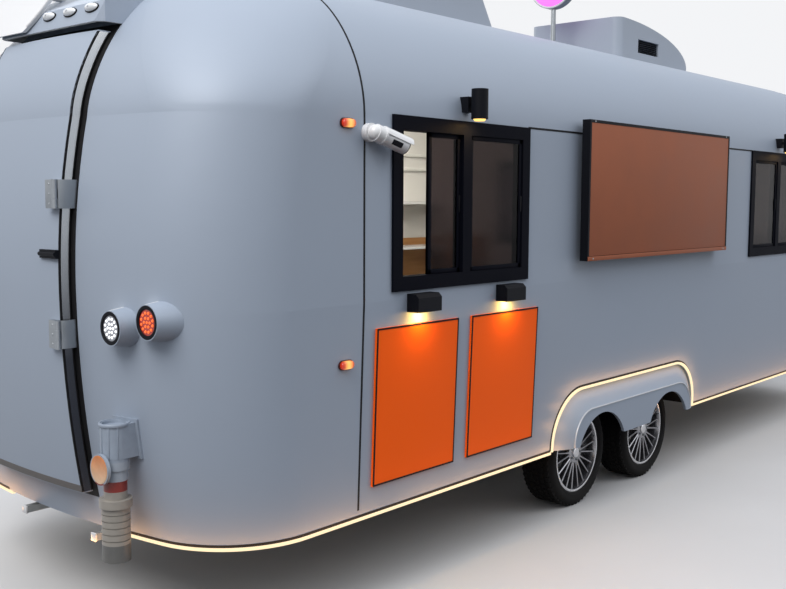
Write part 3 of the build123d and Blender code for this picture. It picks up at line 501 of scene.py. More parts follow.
class Finishes:
    """The trailer's finishes, by what they cover."""

    SHELL = ShellPaint("shell paint", (0.335, 0.385, 0.46), Shine.EGGSHELL, metallic=0.08,
                       blotch_scale=1.6, blotch=0.09, grain_scale=900.0, grain_depth=0.0001,
                       dust_top=0.65, dust=0.22, specular=0.45, axis_x=(-3.0, 2.0))
    FRAME = Finish("window frame black", (0.003, 0.0035, 0.007), Shine.DULL, blotch=0.2, specular=0.04)
    GLASS = Glass("window glass", (0.10, 0.075, 0.08), Shine.POLISHED, dust=0.05, blotch=0.03, ior=1.16)
    RUBBER = Finish("seal rubber", (0.008, 0.008, 0.009), Shine.DULL, grain_scale=700.0, specular=0.15)
    STEEL = Finish("hinge steel", (0.30, 0.32, 0.34), Shine.SATIN, metallic=0.9, blotch=0.2)
    # The door strip's dark foot, fading up to bright metal between z 1.05 and 1.60, is a painted reflection
    # of the darker surroundings that the strip mirrors low down.
    DOOR_STRIP = FadedFinish("door edge strip", (0.86, 0.83, 0.78), Shine.GLOSS, metallic=0.9, blotch=0.1,
                             foot=(0.10, 0.10, 0.11), foot_z=1.05, head_z=1.60)
    WHITE = Finish("white plastic", (0.74, 0.74, 0.74), Shine.GLOSS, blotch=0.05, dust=0.1)
    MARKER = CentreGlow("marker lens", (0.30, 0.015, 0.004), Shine.GLOSS, coat=0.5, dust=0.0, glow=1.0,
                        glow_colour=(0.38, 0.018, 0.001), middle_x=-3.33, half_x=0.030,
                        centre_glow=(1.3, 0.62, 0.13))
    MARKER_BASE = Finish("marker base", (0.07, 0.012, 0.008), Shine.SATIN, dust=0.1, specular=0.3)
    CLEAR = Finish("clear lamp plastic", (0.72, 0.74, 0.76), Shine.POLISHED, coat=1.0, blotch_scale=60.0,
                   blotch=0.5, grain_scale=160.0, grain_depth=0.0003, dust=0.0, glow=0.06)
    GALVANISED = Finish("galvanised steel", (0.36, 0.38, 0.39), Shine.DULL, metallic=0.85, blotch=0.35,
                        blotch_scale=28.0, dust=0.5)
    CHASSIS_BLACK = Finish("coupling black", (0.03, 0.03, 0.032), Shine.SATIN, dust=0.4)
    TYRE = Finish("tyre rubber", (0.009, 0.009, 0.010), Shine.MATT, blotch=0.3, blotch_scale=9.0, dust=0.08,
                  dust_top=0.6, specular=0.12)
    ALLOY = Finish("gunmetal alloy", (0.30, 0.30, 0.32), Shine.GLOSS, metallic=0.9, coat=0.3, dust=0.1)
    LIP = Finish("machined rim lip", (0.62, 0.62, 0.64), Shine.GLOSS, metallic=1.0, dust=0.1)
    LINER = Finish("wheel box liner", (0.02, 0.02, 0.022), Shine.MATT, dust=0.2, dust_top=0.9, specular=0.2)
    FLOOR = Finish("floor vinyl", (0.20, 0.19, 0.18), Shine.DULL, blotch=0.25, blotch_scale=14.0)
    # The boards' faint orange glow is painted light, standing in for the box lamps' light falling on them.
    ORANGE = Finish("board orange", (0.92, 0.115, 0.003), Shine.EGGSHELL, blotch=0.10, blotch_scale=2.0,
                    dust=0.05, specular=0.2, glow=0.11, glow_colour=(1.0, 0.10, 0.004))
    COPPER = Finish("copper panel", (0.30, 0.095, 0.045), Shine.DULL, metallic=0.25, blotch=0.3,
                    blotch_scale=5.0, dust=0.0, specular=0.3)
    BLACK = Finish("black plastic", (0.004, 0.0045, 0.007), Shine.EGGSHELL, specular=0.10)
    BLACK_GLASS = Finish("black lens glass", (0.004, 0.004, 0.006), Shine.POLISHED, coat=1.0, dust=0.0)
    LENS = Finish("lamp lens", (0.26, 0.27, 0.30), Shine.GLOSS, coat=0.5, dust=0.05, glow=0.04)
    WHITE_LED = Finish("white diode", (0.9, 0.9, 0.9), Shine.GLOSS, dust=0.0, glow=0.9,
                       glow_colour=(0.93, 0.96, 1.0))
    AMBER_BACK = Finish("amber lens", (0.34, 0.020, 0.004), Shine.GLOSS, coat=0.6, dust=0.0, glow=0.10,
                        glow_colour=(1.0, 0.05, 0.005))
    AMBER_LED = Finish("amber diode", (0.9, 0.16, 0.03), Shine.GLOSS, dust=0.0, glow=0.55,
                       glow_colour=(1.0, 0.15, 0.025))
    STRIP = Finish("strip light", (0.18, 0.13, 0.07), Shine.DULL, dust=0.0, blotch=0.0, glow=1.0,
                   glow_colour=(1.0, 0.87, 0.58), specular=0.0)
    WARM_BULB = Finish("warm lamp face", (0.95, 0.75, 0.4), Shine.DULL, dust=0.0, glow=1.6,
                       glow_colour=(1.0, 0.60, 0.16))
    CEILING_LIGHT = Finish("ceiling light", (0.95, 0.95, 0.92), Shine.DULL, dust=0.0, glow=3.0,
                           glow_colour=(1.0, 0.95, 0.86))
    SIGN_LIGHT = LitDisc("round sign face", (0.5, 0.15, 0.45), Shine.GLOSS, dust=0.0, glow=0.8,
                         low_z=2.92, high_z=3.2, low_glow=(1.0, 0.10, 0.85), high_glow=(0.75, 0.35, 1.0))
    GREY = BandedFinish("inlet plastic", (0.36, 0.38, 0.39), Shine.SATIN, blotch=0.2, blotch_scale=40.0,
                        bands=(
        (0.0, (0.10, 0.10, 0.095)), (0.405, (0.30, 0.275, 0.24)), (0.600, (0.22, 0.018, 0.012)),
        (0.638, (0.33, 0.37, 0.42)), (0.710, (0.29, 0.335, 0.40))))
    # The flare bead's light colour is a painted highlight: it paints the sheen and strip-light reflection
    # along the flare's rolled edge.
    FLARE_EDGE_HIGHLIGHT = Finish("rolled flare edge", (0.55, 0.57, 0.60), Shine.SATIN, metallic=0.3, dust=0.1)
    SILL = Finish("door foot strip", (0.13, 0.12, 0.115), Shine.DULL, dust=0.3, specular=0.3)
    LID_FACE = FadedFinish("inlet lid lining", (0.66, 0.20, 0.04), Shine.SATIN, blotch=0.5, blotch_scale=25.0,
                           dust=0.1, foot=(0.72, 0.50, 0.32), foot_z=0.640, head_z=0.735)
    ROOF_UNIT = Finish("roof unit paint", (0.36, 0.40, 0.46), Shine.EGGSHELL, dust=0.0)
    HUB_GREY = Finish("jockey hub plastic", (0.22, 0.22, 0.23), Shine.SATIN, dust=0.3)
    STAINLESS = Finish("stainless steel", (0.55, 0.55, 0.55), Shine.SATIN, metallic=1.0, dust=0.0)
    PANEL_WHITE = Finish("cabin panel white", (0.80, 0.80, 0.76), Shine.SATIN, dust=0.0)
    WOOD = WoodFinish("cabin wood", (0.56, 0.28, 0.10), Shine.SATIN, coat=0.4, dust=0.0)


NODE_FINISHES: dict[str, Finish] = {
    "shell_paint": Finishes.SHELL,
    "black_frame": Finishes.FRAME,
    "window_glass": Finishes.GLASS,
    "black_rubber": Finishes.RUBBER,
    "steel": Finishes.STEEL,
    "white_plastic": Finishes.WHITE,
    "marker_lens": Finishes.MARKER,
    "galvanised": Finishes.GALVANISED,
    "black_steel": Finishes.CHASSIS_BLACK,
    "tyre": Finishes.TYRE,
    "alloy": Finishes.ALLOY,
    "liner": Finishes.LINER,
    "floor_board": Finishes.FLOOR,
    "board_orange": Finishes.ORANGE,
    "copper_panel": Finishes.COPPER,
    "black_plastic": Finishes.BLACK,
    "lamp_lens": Finishes.LENS,
    "clear_lens": Finishes.CLEAR,
    "strip_light": Finishes.STRIP,
    "grey_plastic": Finishes.GREY,
    "roof_unit_paint": Finishes.ROOF_UNIT,
    "stainless": Finishes.STAINLESS,
}


NODE_EXCEPTIONS: dict[str, Finish] = {
    "sign_board": Finishes.BLACK,
    "roof_sign": Finishes.STEEL,
}


def dress_nodes(frame: dict) -> None:
    """Give every CAD node the finish of its material slot.
    """
    for part in frame["record"]["subparts"]:
        mesh = frame["nodes"][part["node"]].data
        mesh.materials.clear()
        finish = NODE_EXCEPTIONS.get(part["node"], NODE_FINISHES[part["material_slot"]])
        mesh.materials.append(finish.build())
    log.info("dressed %d CAD nodes", len(frame["nodes"]))


class MeshWork:
    """Gathers the closed solids of one piece, in metres and in the trailer's frame."""

    def __init__(self) -> None:
        """Start with no faces."""
        self.mesh = bmesh.new()

    def absorb(self, part: bmesh.types.BMesh) -> None:
        """Move the faces of another mesh into this one.

        Args:
            part: the mesh, which is freed.
        """
        carrier = bpy.data.meshes.new("carrier")
        part.to_mesh(carrier)
        part.free()
        self.take(carrier)

    def take(self, carrier: bpy.types.Mesh) -> None:
        """Add a mesh's faces and remove that mesh."""
        self.mesh.from_mesh(carrier)
        bpy.data.meshes.remove(carrier)

    def block(self, low: Point, high: Point, bevel: float = 0.0, place: Matrix | None = None,
              taper: float = 1.0) -> None:
        """Add a box between two corners.

        Args:
            low: lowest corner.
            high: highest corner.
            bevel: width of its rounded edges.
            place: the frame that the corners are given in.
            taper: share of its width and depth that is left at its top.
        """
        part = bmesh.new()
        bmesh.ops.create_cube(part, size=1.0)
        middle = (Vector(low) + Vector(high)) / 2
        for vert in part.verts:
            if vert.co.z > 0:
                vert.co.x *= taper
                vert.co.y *= taper
            vert.co = middle + Vector(share * (b - a) for share, a, b in zip(vert.co, low, high))
        if bevel:
            bmesh.ops.bevel(part, geom=part.edges[:], offset=bevel, segments=2, affect="EDGES", profile=0.5)
        part.transform(place or Matrix.Identity(4))
        self.absorb(part)

    def lathe(self, outline: Pairs, place: Matrix, steps: int = 40, ring: bool = False) -> None:
        """Turn an outline of radius and height about the Z axis of a place.

        Args:
            outline: pairs of radius and height.
            place: where the axis stands.
            steps: how many flat stretches one turn has.
            ring: whether the outline closes on itself.
        """
        rows = []
        for radius, height in outline:
            if radius == 0.0:
                rows.append([self.mesh.verts.new(place @ Vector((0.0, 0.0, height)))] * steps)
                continue
            row = []
            for step in range(steps):
                turn = 2 * math.pi * step / steps
                spot = Vector((radius * math.cos(turn), radius * math.sin(turn), height))
                row.append(self.mesh.verts.new(place @ spot))
            rows.append(row)
        followers = rows[1:] + (rows[:1] if ring else [])
        for row, after in zip(rows, followers):
            for step in range(steps):
                corners = (row[step], row[step - 1], after[step - 1], after[step])
                distinct = list(dict.fromkeys(corners))
                self.mesh.faces.new(distinct)

    def sweep(self, path: Path, outline: Pairs,
              closed: bool = False) -> None:
        """Carry a closed outline along a path.

        Args:
            path: each point with its direction across and its direction out.
            outline: pairs of distance across and distance out.
            closed: whether the path ends where it starts.
        """
        rows = []
        for point, across, out in path:
            rows.append([self.mesh.verts.new(point + u * across + v * out) for u, v in outline])
        for row, after in zip(rows, rows[1:] + (rows[:1] if closed else [])):
            for place in range(len(outline)):
                self.mesh.faces.new((row[place - 1], row[place], after[place], after[place - 1]))
        if not closed:
            self.mesh.faces.new(rows[0])
            self.mesh.faces.new(reversed(rows[-1]))

    def loft(self, rings: list[list[Vector]]) -> None:
        """Join rings of points, from the first to the last, and close both ends.

        Args:
            rings: the rings, each with equally many points.
        """
        rows = [[self.mesh.verts.new(point) for point in ring] for ring in rings]
        for row, after in zip(rows, rows[1:]):
            for place in range(len(row)):
                self.mesh.faces.new((row[place - 1], row[place], after[place], after[place - 1]))
        self.mesh.faces.new(rows[0])
        self.mesh.faces.new(reversed(rows[-1]))

    def prism(self, outline: list[Vector], push: Vector) -> None:
        """Push a flat outline along a vector."""
        self.loft([outline, [point + push for point in outline]])

    def done(self, name: str, finish: Finish, slot: str, body: str = "root",
             crease: float = 35.0) -> bpy.types.Object:
        """Turn the gathered solids into a piece that rides on a body.

        Args:
            name: the piece's name.
            finish: its finish.
            slot: not used.
            body: the body that it moves with.
            crease: edges sharper than this many degrees stay sharp.

        Returns:
            The piece.
        """
        bmesh.ops.recalc_face_normals(self.mesh, faces=self.mesh.faces)
        data = bpy.data.meshes.new(name)
        self.mesh.to_mesh(data)
        self.mesh.free()
        data.materials.clear()
        data.materials.append(finish.build())
        for face in data.polygons:
            face.use_smooth = True
            face.material_index = 0
        data.set_sharp_from_angle(angle=math.radians(crease))
        piece = bpy.data.objects.new(name, data)
        bpy.context.scene.collection.objects.link(piece)
        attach(piece, body)
        log.info("%s: %d faces on %s", name, len(data.polygons), body)
        return piece


@dataclass(frozen=True)
class Seat:
    """Where one repeated item sits: its place, the way up and the way along."""

    place: Vector
    up: Vector
    along: Vector


class Repeats:
    """Sets an item on many seats with Geometry Nodes."""

    NAME = "item on seats"
    INPUTS = {"Seats": "Geometry", "Item": "Object", "Size": "Float", "Finish": "Material"}
    OUTPUTS = {"Pieces": "Geometry"}

    @classmethod
    def tree(cls) -> bpy.types.NodeTree:
        """Return the node tree, built at the first call."""
        if cls.NAME in bpy.data.node_groups:
            return bpy.data.node_groups[cls.NAME]
        work = ShaderWork(bpy.data.node_groups.new(cls.NAME, "GeometryNodeTree"))
        given, result = work.sockets(cls.INPUTS, cls.OUTPUTS)
        item = work.add("GeometryNodeObjectInfo")
        work.link(given["Item"], item.inputs["Object"])
        turns = None
        for attribute, axis, pivot in (("up", "Z", "AUTO"), ("along", "X", "Z")):
            read = work.add("GeometryNodeInputNamedAttribute", data_type="FLOAT_VECTOR")
            read.inputs["Name"].default_value = attribute
            align = work.add("FunctionNodeAlignRotationToVector", axis=axis, pivot_axis=pivot)
            work.link(read.outputs["Attribute"], align.inputs["Vector"])
            if turns is not None:
                work.link(turns, align.inputs["Rotation"])
            turns = align.outputs["Rotation"]
        place = work.add("GeometryNodeInstanceOnPoints")
        for name, value in (("Points", given["Seats"]), ("Instance", item.outputs["Geometry"]),
                            ("Rotation", turns), ("Scale", given["Size"])):
            work.link(value, place.inputs[name])
        real = work.add("GeometryNodeRealizeInstances")
        work.link(place.outputs["Instances"], real.inputs[0])
        dress = work.add("GeometryNodeSetMaterial")
        work.link(real.outputs[0], dress.inputs["Geometry"])
        work.link(given["Finish"], dress.inputs["Material"])
        work.link(dress.outputs[0], result["Pieces"])
        return work.tree

    @classmethod
    def mesh(cls, item: MeshWork, seats: list[Seat], finish: Finish, size: float = 1.0) -> bpy.types.Mesh:
        """Set an item on seats.

        Args:
            item: the item's solids, about its own origin.
            seats: where the copies sit.
            finish: the finish that the copies carry.
            size: their scale.

        Returns:
            One plain mesh with all the copies.
        """
        bmesh.ops.recalc_face_normals(item.mesh, faces=item.mesh.faces)
        shape = bpy.data.meshes.new("item")
        item.mesh.to_mesh(shape)
        item.mesh.free()
        model = bpy.data.objects.new("item", shape)
        points = bpy.data.meshes.new("seats")
        points.from_pydata([seat.place for seat in seats], [], [])
        for name in ("up", "along"):
            values = points.attributes.new(name, "FLOAT_VECTOR", "POINT")
            for spot, seat in zip(values.data, seats):
                spot.vector = getattr(seat, name)
        host = bpy.data.objects.new("seats", points)
        bpy.context.scene.collection.objects.link(host)
        modifier = host.modifiers.new("repeats", "NODES")
        modifier.node_group = cls.tree()
        inputs = {socket.name: socket.identifier for socket in modifier.node_group.interface.items_tree}
        for name, value in (("Item", model), ("Size", size), ("Finish", finish.build())):
            modifier[inputs[name]] = value
        graph = bpy.context.evaluated_depsgraph_get()
        result = bpy.data.meshes.new_from_object(host.evaluated_get(graph), depsgraph=graph)
        for spare in (host, model):
            bpy.data.objects.remove(spare)
        for spare in (points, shape):
            bpy.data.meshes.remove(spare)
        return result


class Skin:
    """Finds points on the outside of CAD nodes."""

    def __init__(self, frame: dict, *names: str) -> None:
        """Gather the nodes' faces.

        Args:
            names: the nodes to read.
        """
        faces = bmesh.new()
        for name in names:
            faces.from_mesh(frame["nodes"][name].data)
        self.tree = BVHTree.FromBMesh(faces)
        faces.free()

    def hit(self, start: Vector, aim: Vector) -> Ray | None:
        """Follow a ray to the first face.

        Args:
            start: where the ray starts.
            aim: its direction.

        Returns:
            The point and the face's outward direction, or None.
        """
        spot, normal, _, _ = self.tree.ray_cast(start, aim.normalized())
        if spot is None:
            return None
        if normal.dot(aim) > 0:
            normal = -normal
        return spot, normal

    def path(self, rays: list[Ray]) -> Path:
        """Follow rays to a path on the surface, for MeshWork.sweep.

        Args:
            rays: starts and directions, in order along the path.

        Returns:
            Each point with its direction across the path and its direction out.
        """
        hits = [found for found in (self.hit(start, aim) for start, aim in rays) if found]
        result = []
        for place, (spot, normal) in enumerate(hits):
            before = hits[max(place - 1, 0)][0]
            after = hits[min(place + 1, len(hits) - 1)][0]
            across = (after - before).cross(normal).normalized()
            result.append((spot, across, normal))
        return result


def islands(frame: dict, name: str) -> list[Ray]:
    """Boxes of the separate solids in a node, sorted along X and then Y.

    Args:
        name: the node.

    Returns:
        The lowest and highest corner of each solid.
    """
    faces = bmesh.new()
    faces.from_mesh(frame["nodes"][name].data)
    bmesh.ops.remove_doubles(faces, verts=faces.verts, dist=1e-6)
    waiting = set(faces.verts)
    boxes = []
    while waiting:
        group = [waiting.pop()]
        corners = []
        while group:
            vert = group.pop()
            corners.append(vert.co.copy())
            near = {edge.other_vert(vert) for edge in vert.link_edges} & waiting
            waiting -= near
            group.extend(near)
        low = Vector(min(spot[axis] for spot in corners) for axis in range(3))
        high = Vector(max(spot[axis] for spot in corners) for axis in range(3))
        boxes.append((low, high))
    faces.free()
    return sorted(boxes, key=lambda box: (round(box[0].x, 3), box[0].y))


def flat(half_width: float, proud: float, sunk: float = 0.002) -> Pairs:
    """Outline of a flat band for MeshWork.sweep."""
    return [(-half_width, -sunk), (half_width, -sunk), (half_width, proud), (-half_width, proud)]


def bead(radius: float, steps: int = 8) -> Pairs:
    """Outline of a round bead for MeshWork.sweep."""
    turns = (2 * math.pi * step / steps for step in range(steps))
    return [(radius * math.cos(turn), radius * math.sin(turn)) for turn in turns]

def disc(radius: float, low: float, high: float) -> Pairs:
    """Outline of a solid disc for MeshWork.lathe."""
    return [(0.0, low), (radius, low), (radius, high), (0.0, high)]


def band(inner: float, outer: float, low: float, high: float) -> Pairs:
    """Outline of a ring for MeshWork.lathe."""
    return [(inner, low), (outer, low), (outer, high), (inner, high)]


def node_box(name: str) -> list[Vector]:
    """Lowest and highest corner of a CAD node."""
    return [Vector(corner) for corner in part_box(name)]


def facing(spot: Vector, axis: Vector) -> Matrix:
    """Place whose Z axis points along a direction."""
    return Matrix.Translation(spot) @ axis.to_track_quat("Z", "Y").to_matrix().to_4x4()


def side_of(low: Vector) -> Side:
    """Side that a box stands on."""
    return Side.RIGHT if low.y < 0 else Side.LEFT


def add_lamp(name: str, spot: Point, aim: Point, size: float, power: float,
             colour: Colour) -> bpy.types.Object:
    """Add a square area lamp that the camera doesn't see.

    Args:
        name: the lamp's name.
        spot: where it hangs.
        aim: the point it faces.
        size: length of its side.
        power: watts.
        colour: its light's colour.

    Returns:
        The lamp.
    """
    data = bpy.data.lights.new(name, "AREA")
    data.size = size
    data.energy = power
    data.color = colour
    lamp = bpy.data.objects.new(name, data)
    lamp.location = spot
    lamp.rotation_euler = (Vector(aim) - Vector(spot)).to_track_quat("-Z", "Y").to_euler()
    lamp.visible_camera = False
    bpy.context.scene.collection.objects.link(lamp)
    return lamp


FAR = 4.0
BEHIND = -6.0


def level_rays(side: Side, spots: Pairs) -> list[Ray]:
    """Rays straight at a side wall, through points of X and Z."""
    return [(Vector((x, FAR * side.value, z)), -side.value * Y) for x, z in spots]


@dataclass(frozen=True)
class SubAssembly:
    frame: dict

    def solids(self, name: str) -> list[Ray]:
        """Boxes of the separate solids in a CAD node."""
        return islands(self.frame, name)

    def skin(self, name: str) -> Skin:
        """Surface of a CAD node."""
        return Skin(self.frame, name)


@dataclass(frozen=True)
class ShellTrim:
    """Black beads where the shell's panels meet, and a black band beside the strip lights that paints the
    shadow line there.
    """

    rear_seam_x: float = -3.233
    front_seam_x: float = 2.110
    split_z: float = 1.985
    right_split_x: float = -2.113
    edge_z: float = 0.396
    axis_z: float = 1.3
    half_body: float = 1.05
    door_half: float = 0.372
    seam_half: float = 0.0045
    line_half: float = 0.0055
    proud: float = 0.0015
    nudge: float = 0.001
    arch_x: float = -1.003
    arch_half: float = 0.812
    arch_top: float = 0.682
    arch_corner: float = 0.270
    shadow_line_offset: float = 0.010
    section_steps: int = 160
    corner_steps: int = 48
    arch_steps: int = 16
    lap: float = 0.1

    def section_rays(self, x: float) -> list[Ray]:
        """Rays round a cross-section, from the right edge over the roof to the left edge.

        Args:
            x: where the section lies.

        Returns:
            Starts and directions.
        """
        low = math.atan2(self.edge_z - self.axis_z, self.half_body)
        middle = Vector((x, 0.0, self.axis_z))
        rays = []
        for step in range(self.section_steps + 1):
            turn = low + (math.pi - 2 * low) * step / self.section_steps
            out = Vector((0.0, -math.cos(turn), math.sin(turn)))
            rays.append((middle + FAR * out, -out))
        return rays

    def corner_rays(self, x: float, way: float, low: float, high: float) -> list[Ray]:
        """Rays round a rounded end in plan.

        Args:
            x: where the end starts.
            way: -1 for the rear and 1 for the front.
            low: first angle from the right side, in radians.
            high: last angle.

        Returns:
            Starts and directions.
        """
        rays = []
        for step in range(self.corner_steps + 1):
            turn = low + (high - low) * step / self.corner_steps
            out = Vector((way * math.sin(turn), -math.cos(turn), 0.0))
            rays.append((Vector((x, 0.0, self.edge_z)) + FAR * out, -out))
        return rays

    def rear_rays(self, side: Side) -> list[Ray]:
        """Rays from the door round the rear corner to the arch.

        Args:
            side: the trailer's side.

        Returns:
            Starts and directions.
        """
        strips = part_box("light_strips")
        widest = math.atan2(self.rear_seam_x - strips[0][0], self.door_half)
        turns = (widest, 0.0) if side is Side.RIGHT else (math.pi - widest, math.pi)
        ends = (self.rear_seam_x + self.lap, self.arch_x - self.arch_half - self.shadow_line_offset)
        straight = level_rays(side, [(x, self.edge_z) for x in ends])
        return self.corner_rays(self.rear_seam_x, -1.0, *turns) + straight

    def front_rays(self) -> list[Ray]:
        """Rays from the right arch round the front to the left arch."""
        ends = (self.arch_x + self.arch_half + self.shadow_line_offset, self.front_seam_x - self.lap)
        right = level_rays(Side.RIGHT, [(x, self.edge_z) for x in ends])
        left = level_rays(Side.LEFT, [(x, self.edge_z) for x in reversed(ends)])
        return right + self.corner_rays(self.front_seam_x, 1.0, 0.0, math.pi) + left

    def arch_spots(self, offset: float, low_z: float) -> Pairs:
        """Points of X and Z along the arch's edge.

        Args:
            offset: distance outside the edge.
            low_z: height of the two ends.

        Returns:
            The points, from the rear end over the top to the front end.
        """
        half, top, corner = (self.arch_half + offset, self.arch_top + offset, self.arch_corner + offset)
        spots = [(-half, low_z)]
        for step in range(self.arch_steps + 1):
            turn = math.pi / 2 * step / self.arch_steps
            spots.append((-half + corner * (1 - math.cos(turn)), top - corner * (1 - math.sin(turn))))
        spots += [(-x, z) for x, z in reversed(spots)]
        return [(self.arch_x + x, z) for x, z in spots]

    def build(self, skin: Skin) -> None:
        """Lay the beads and lines.

        Args:
            skin: the shell's surface.
        """
        seams = MeshWork()
        for x in (self.rear_seam_x - self.nudge, self.front_seam_x + self.nudge):
            seams.sweep(skin.path(self.section_rays(x)), flat(self.seam_half, self.proud))
        # These lines are black bands beside the strip lights: painted shadow, standing for the shadow line
        # along the strips.
        lines = MeshWork()
        lines.sweep(skin.path(self.front_rays()), flat(self.line_half, self.proud))
        for side in Side:
            start_x = self.right_split_x if side is Side.RIGHT else self.rear_seam_x
            ends = [(x, self.split_z + self.nudge) for x in (start_x, self.front_seam_x)]
            seams.sweep(skin.path(level_rays(side, ends)), flat(self.seam_half, self.proud))
            lines.sweep(skin.path(self.rear_rays(side)), flat(self.line_half, self.proud))
            arch = level_rays(side, self.arch_spots(self.shadow_line_offset, self.edge_z))
            lines.sweep(skin.path(arch), flat(self.line_half, self.proud))
        seams.done("shell_seams", Finishes.RUBBER, "black_rubber")
        lines.done("strip_edge_lines", Finishes.RUBBER, "black_rubber")
@dataclass(frozen=True)
class StripGlow:
    """Small warm lamps that spill the strip lights' glow on the wall and the flares."""

    pitch: float = 0.28
    least_share: float = 0.8
    stand_off: float = 0.05
    drop: float = 0.05
    rise: float = 0.05
    lamp_height: float = 0.02
    power: float = 0.15
    arch_pitch: float = 0.13
    arch_power: float = 0.030
    level: float = 0.01
    colour: Colour = (1.0, 0.50, 0.20)

    def light(self, path: Path, lift: float, pitch: float, power: float) -> None:
        """Hang lamps along a path.

        Args:
            path: points on the shell with their directions across and out.
            lift: how far the glow is thrown upwards, from 0 to 1.
            pitch: distance between lamps.
            power: watts of each.
        """
        last = None
        for spot, _, out in path:
            if last is not None and (spot - last).length < self.least_share * pitch:
                continue
            last = spot
            place = spot + self.stand_off * out - self.drop * lift * Z
            lamp = add_lamp("strip_glow", place, spot + self.rise * lift * Z, pitch, power, self.colour)
            lamp.data.shape = "RECTANGLE"
            lamp.data.size_y = self.lamp_height

    def spread(self, rays: list[Ray], pitch: float) -> list[Ray]:
        """Add rays between those that lie far apart along X.

        Args:
            rays: starts and directions.
            pitch: the distance wanted between them.

        Returns:
            The rays with those added.
        """
        result = [rays[0]]
        for (start, aim), (end, _) in zip(rays, rays[1:]):
            parts = max(1, round((end - start).length / pitch))
            if parts > 1 and (end - start).normalized().cross(X).length < self.level:
                result += [(start.lerp(end, step / parts), aim) for step in range(1, parts)]
            result.append((end, aim))
        return result

    def build(self, skin: Skin, trim: ShellTrim) -> None:
        """Light the lower edge and the arches.

        Args:
            skin: the shell's surface.
            trim: the trim whose lines the lamps follow.
        """
        self.light(skin.path(self.spread(trim.front_rays(), self.pitch)), 1.0, self.pitch, self.power)
        for side in Side:
            edge = skin.path(self.spread(trim.rear_rays(side), self.pitch))
            self.light(edge, 1.0, self.pitch, self.power)
            arch = level_rays(side, trim.arch_spots(trim.shadow_line_offset, trim.edge_z))
            path = skin.path(self.spread(arch, self.arch_pitch))
            self.light(path, 0.0, self.arch_pitch, self.arch_power)


@dataclass(frozen=True)
class Windows(SubAssembly):
    """Sashes and panes of the sliding windows, with the rear pane of the first one slid open."""

    sash: float = 0.020
    sash_proud: float = 0.005
    sash_back: float = 0.004
    sash_edge: float = 0.0015
    slide: float = 0.179
    set_in: float = 0.010
    latch: Point = (0.010, 0.010, 0.070)
    latch_edge: float = 0.002

    def add_sash(self, work: MeshWork, low: Vector, high: Vector, side: Side) -> None:
        """Add four bars round a pane.

        Args:
            work: where they go.
            low: the pane's lowest corner.
            high: its highest corner.
            side: the trailer's side.
        """
        out, back = (high.y + self.sash_proud, low.y - self.sash_back)
        if side is Side.RIGHT:
            out, back = (low.y - self.sash_proud, high.y + self.sash_back)
        near, far = sorted((out, back))
        for low_x, high_x in ((low.x, low.x + self.sash), (high.x - self.sash, high.x)):
            work.block((low_x, near, low.z), (high_x, far, high.z), self.sash_edge)
        for low_z, high_z in ((low.z, low.z + self.sash), (high.z - self.sash, high.z)):
            work.block((low.x, near, low_z), (high.x, far, high_z), self.sash_edge)

    def build(self) -> None:
        """Make panes, sashes and latches."""
        panes, sashes, latches = MeshWork(), MeshWork(), MeshWork()
        for place, (low, high) in enumerate(self.solids("window_glass")):
            side = side_of(low)
            if place == 0:
                inward = -side.value * self.set_in
                low = low + Vector((self.slide, inward, 0.0))
                high = high + Vector((0.0, inward, 0.0))
            panes.block(low, high)
            self.add_sash(sashes, low, high, side)
            middle = Vector((high.x - self.sash / 2, 0.0, (low.z + high.z) / 2))
            middle.y = side.value * (max(abs(low.y), abs(high.y)) + self.sash_proud)
            size = Vector(self.latch) / 2
            latches.block(middle - size, middle + size, self.latch_edge)
        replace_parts(panes.done("window_panes", Finishes.GLASS, "window_glass"), "window_glass")
        sashes.done("window_sashes", Finishes.FRAME, "black_frame")
        latches.done("window_latches", Finishes.BLACK, "black_plastic")


@dataclass(frozen=True)
class Cabin:
    """What shows through the open window: lights, rails and a wooden panel."""

    wall_y: float = 1.006
    rail_heights: tuple[float, ...] = (1.87, 1.97)
    rail_half: float = 0.011
    rail_depth: float = 0.020
    run: Span = (-2.9, 0.4)
    panel_face_y: float = 0.984
    panel_z: Span = (0.93, 1.38)
    light_z: float = 2.50
    light_rows: tuple[float, ...] = (-0.28, 0.28)
    panel_depth: float = 0.012
    edge: float = 0.002
    lights_x: tuple[float, ...] = (-2.4, -1.1, 0.2)
    light_size: Point = (1.0, 0.06, 0.03)
    light_edge: float = 0.004
    lamp: Point = (-1.6, -0.1, 2.35)
    lamp_aim: Point = (-1.0, 0.9, 1.5)
    lamp_size: float = 0.9
    lamp_power: float = 20.0
    lamp_colour: Colour = (1.0, 0.95, 0.86)

    def build(self) -> None:
        """Fit the cabin."""
        rails, panel, lights = MeshWork(), MeshWork(), MeshWork()
        start, end = self.run
        for height in self.rail_heights:
            rails.block((start, self.wall_y - self.rail_depth, height - self.rail_half),
                        (end, self.wall_y, height + self.rail_half), self.edge)
        panel.block((start, self.panel_face_y, self.panel_z[0]),
                    (end, self.panel_face_y + self.panel_depth, self.panel_z[1]), self.edge)
        long, wide, deep = self.light_size
        for y in self.light_rows:
            for x in self.lights_x:
                lights.block((x - long / 2, y - wide / 2, self.light_z),
                             (x + long / 2, y + wide / 2, self.light_z + deep), self.light_edge)
        rails.done("cabin_rails", Finishes.PANEL_WHITE, "white_plastic")
        panel.done("cabin_wood_panel", Finishes.WOOD, "floor_board")
        lights.done("cabin_lights", Finishes.CEILING_LIGHT, "white_plastic")
        add_lamp("cabin", self.lamp, self.lamp_aim, self.lamp_size, self.lamp_power, self.lamp_colour)


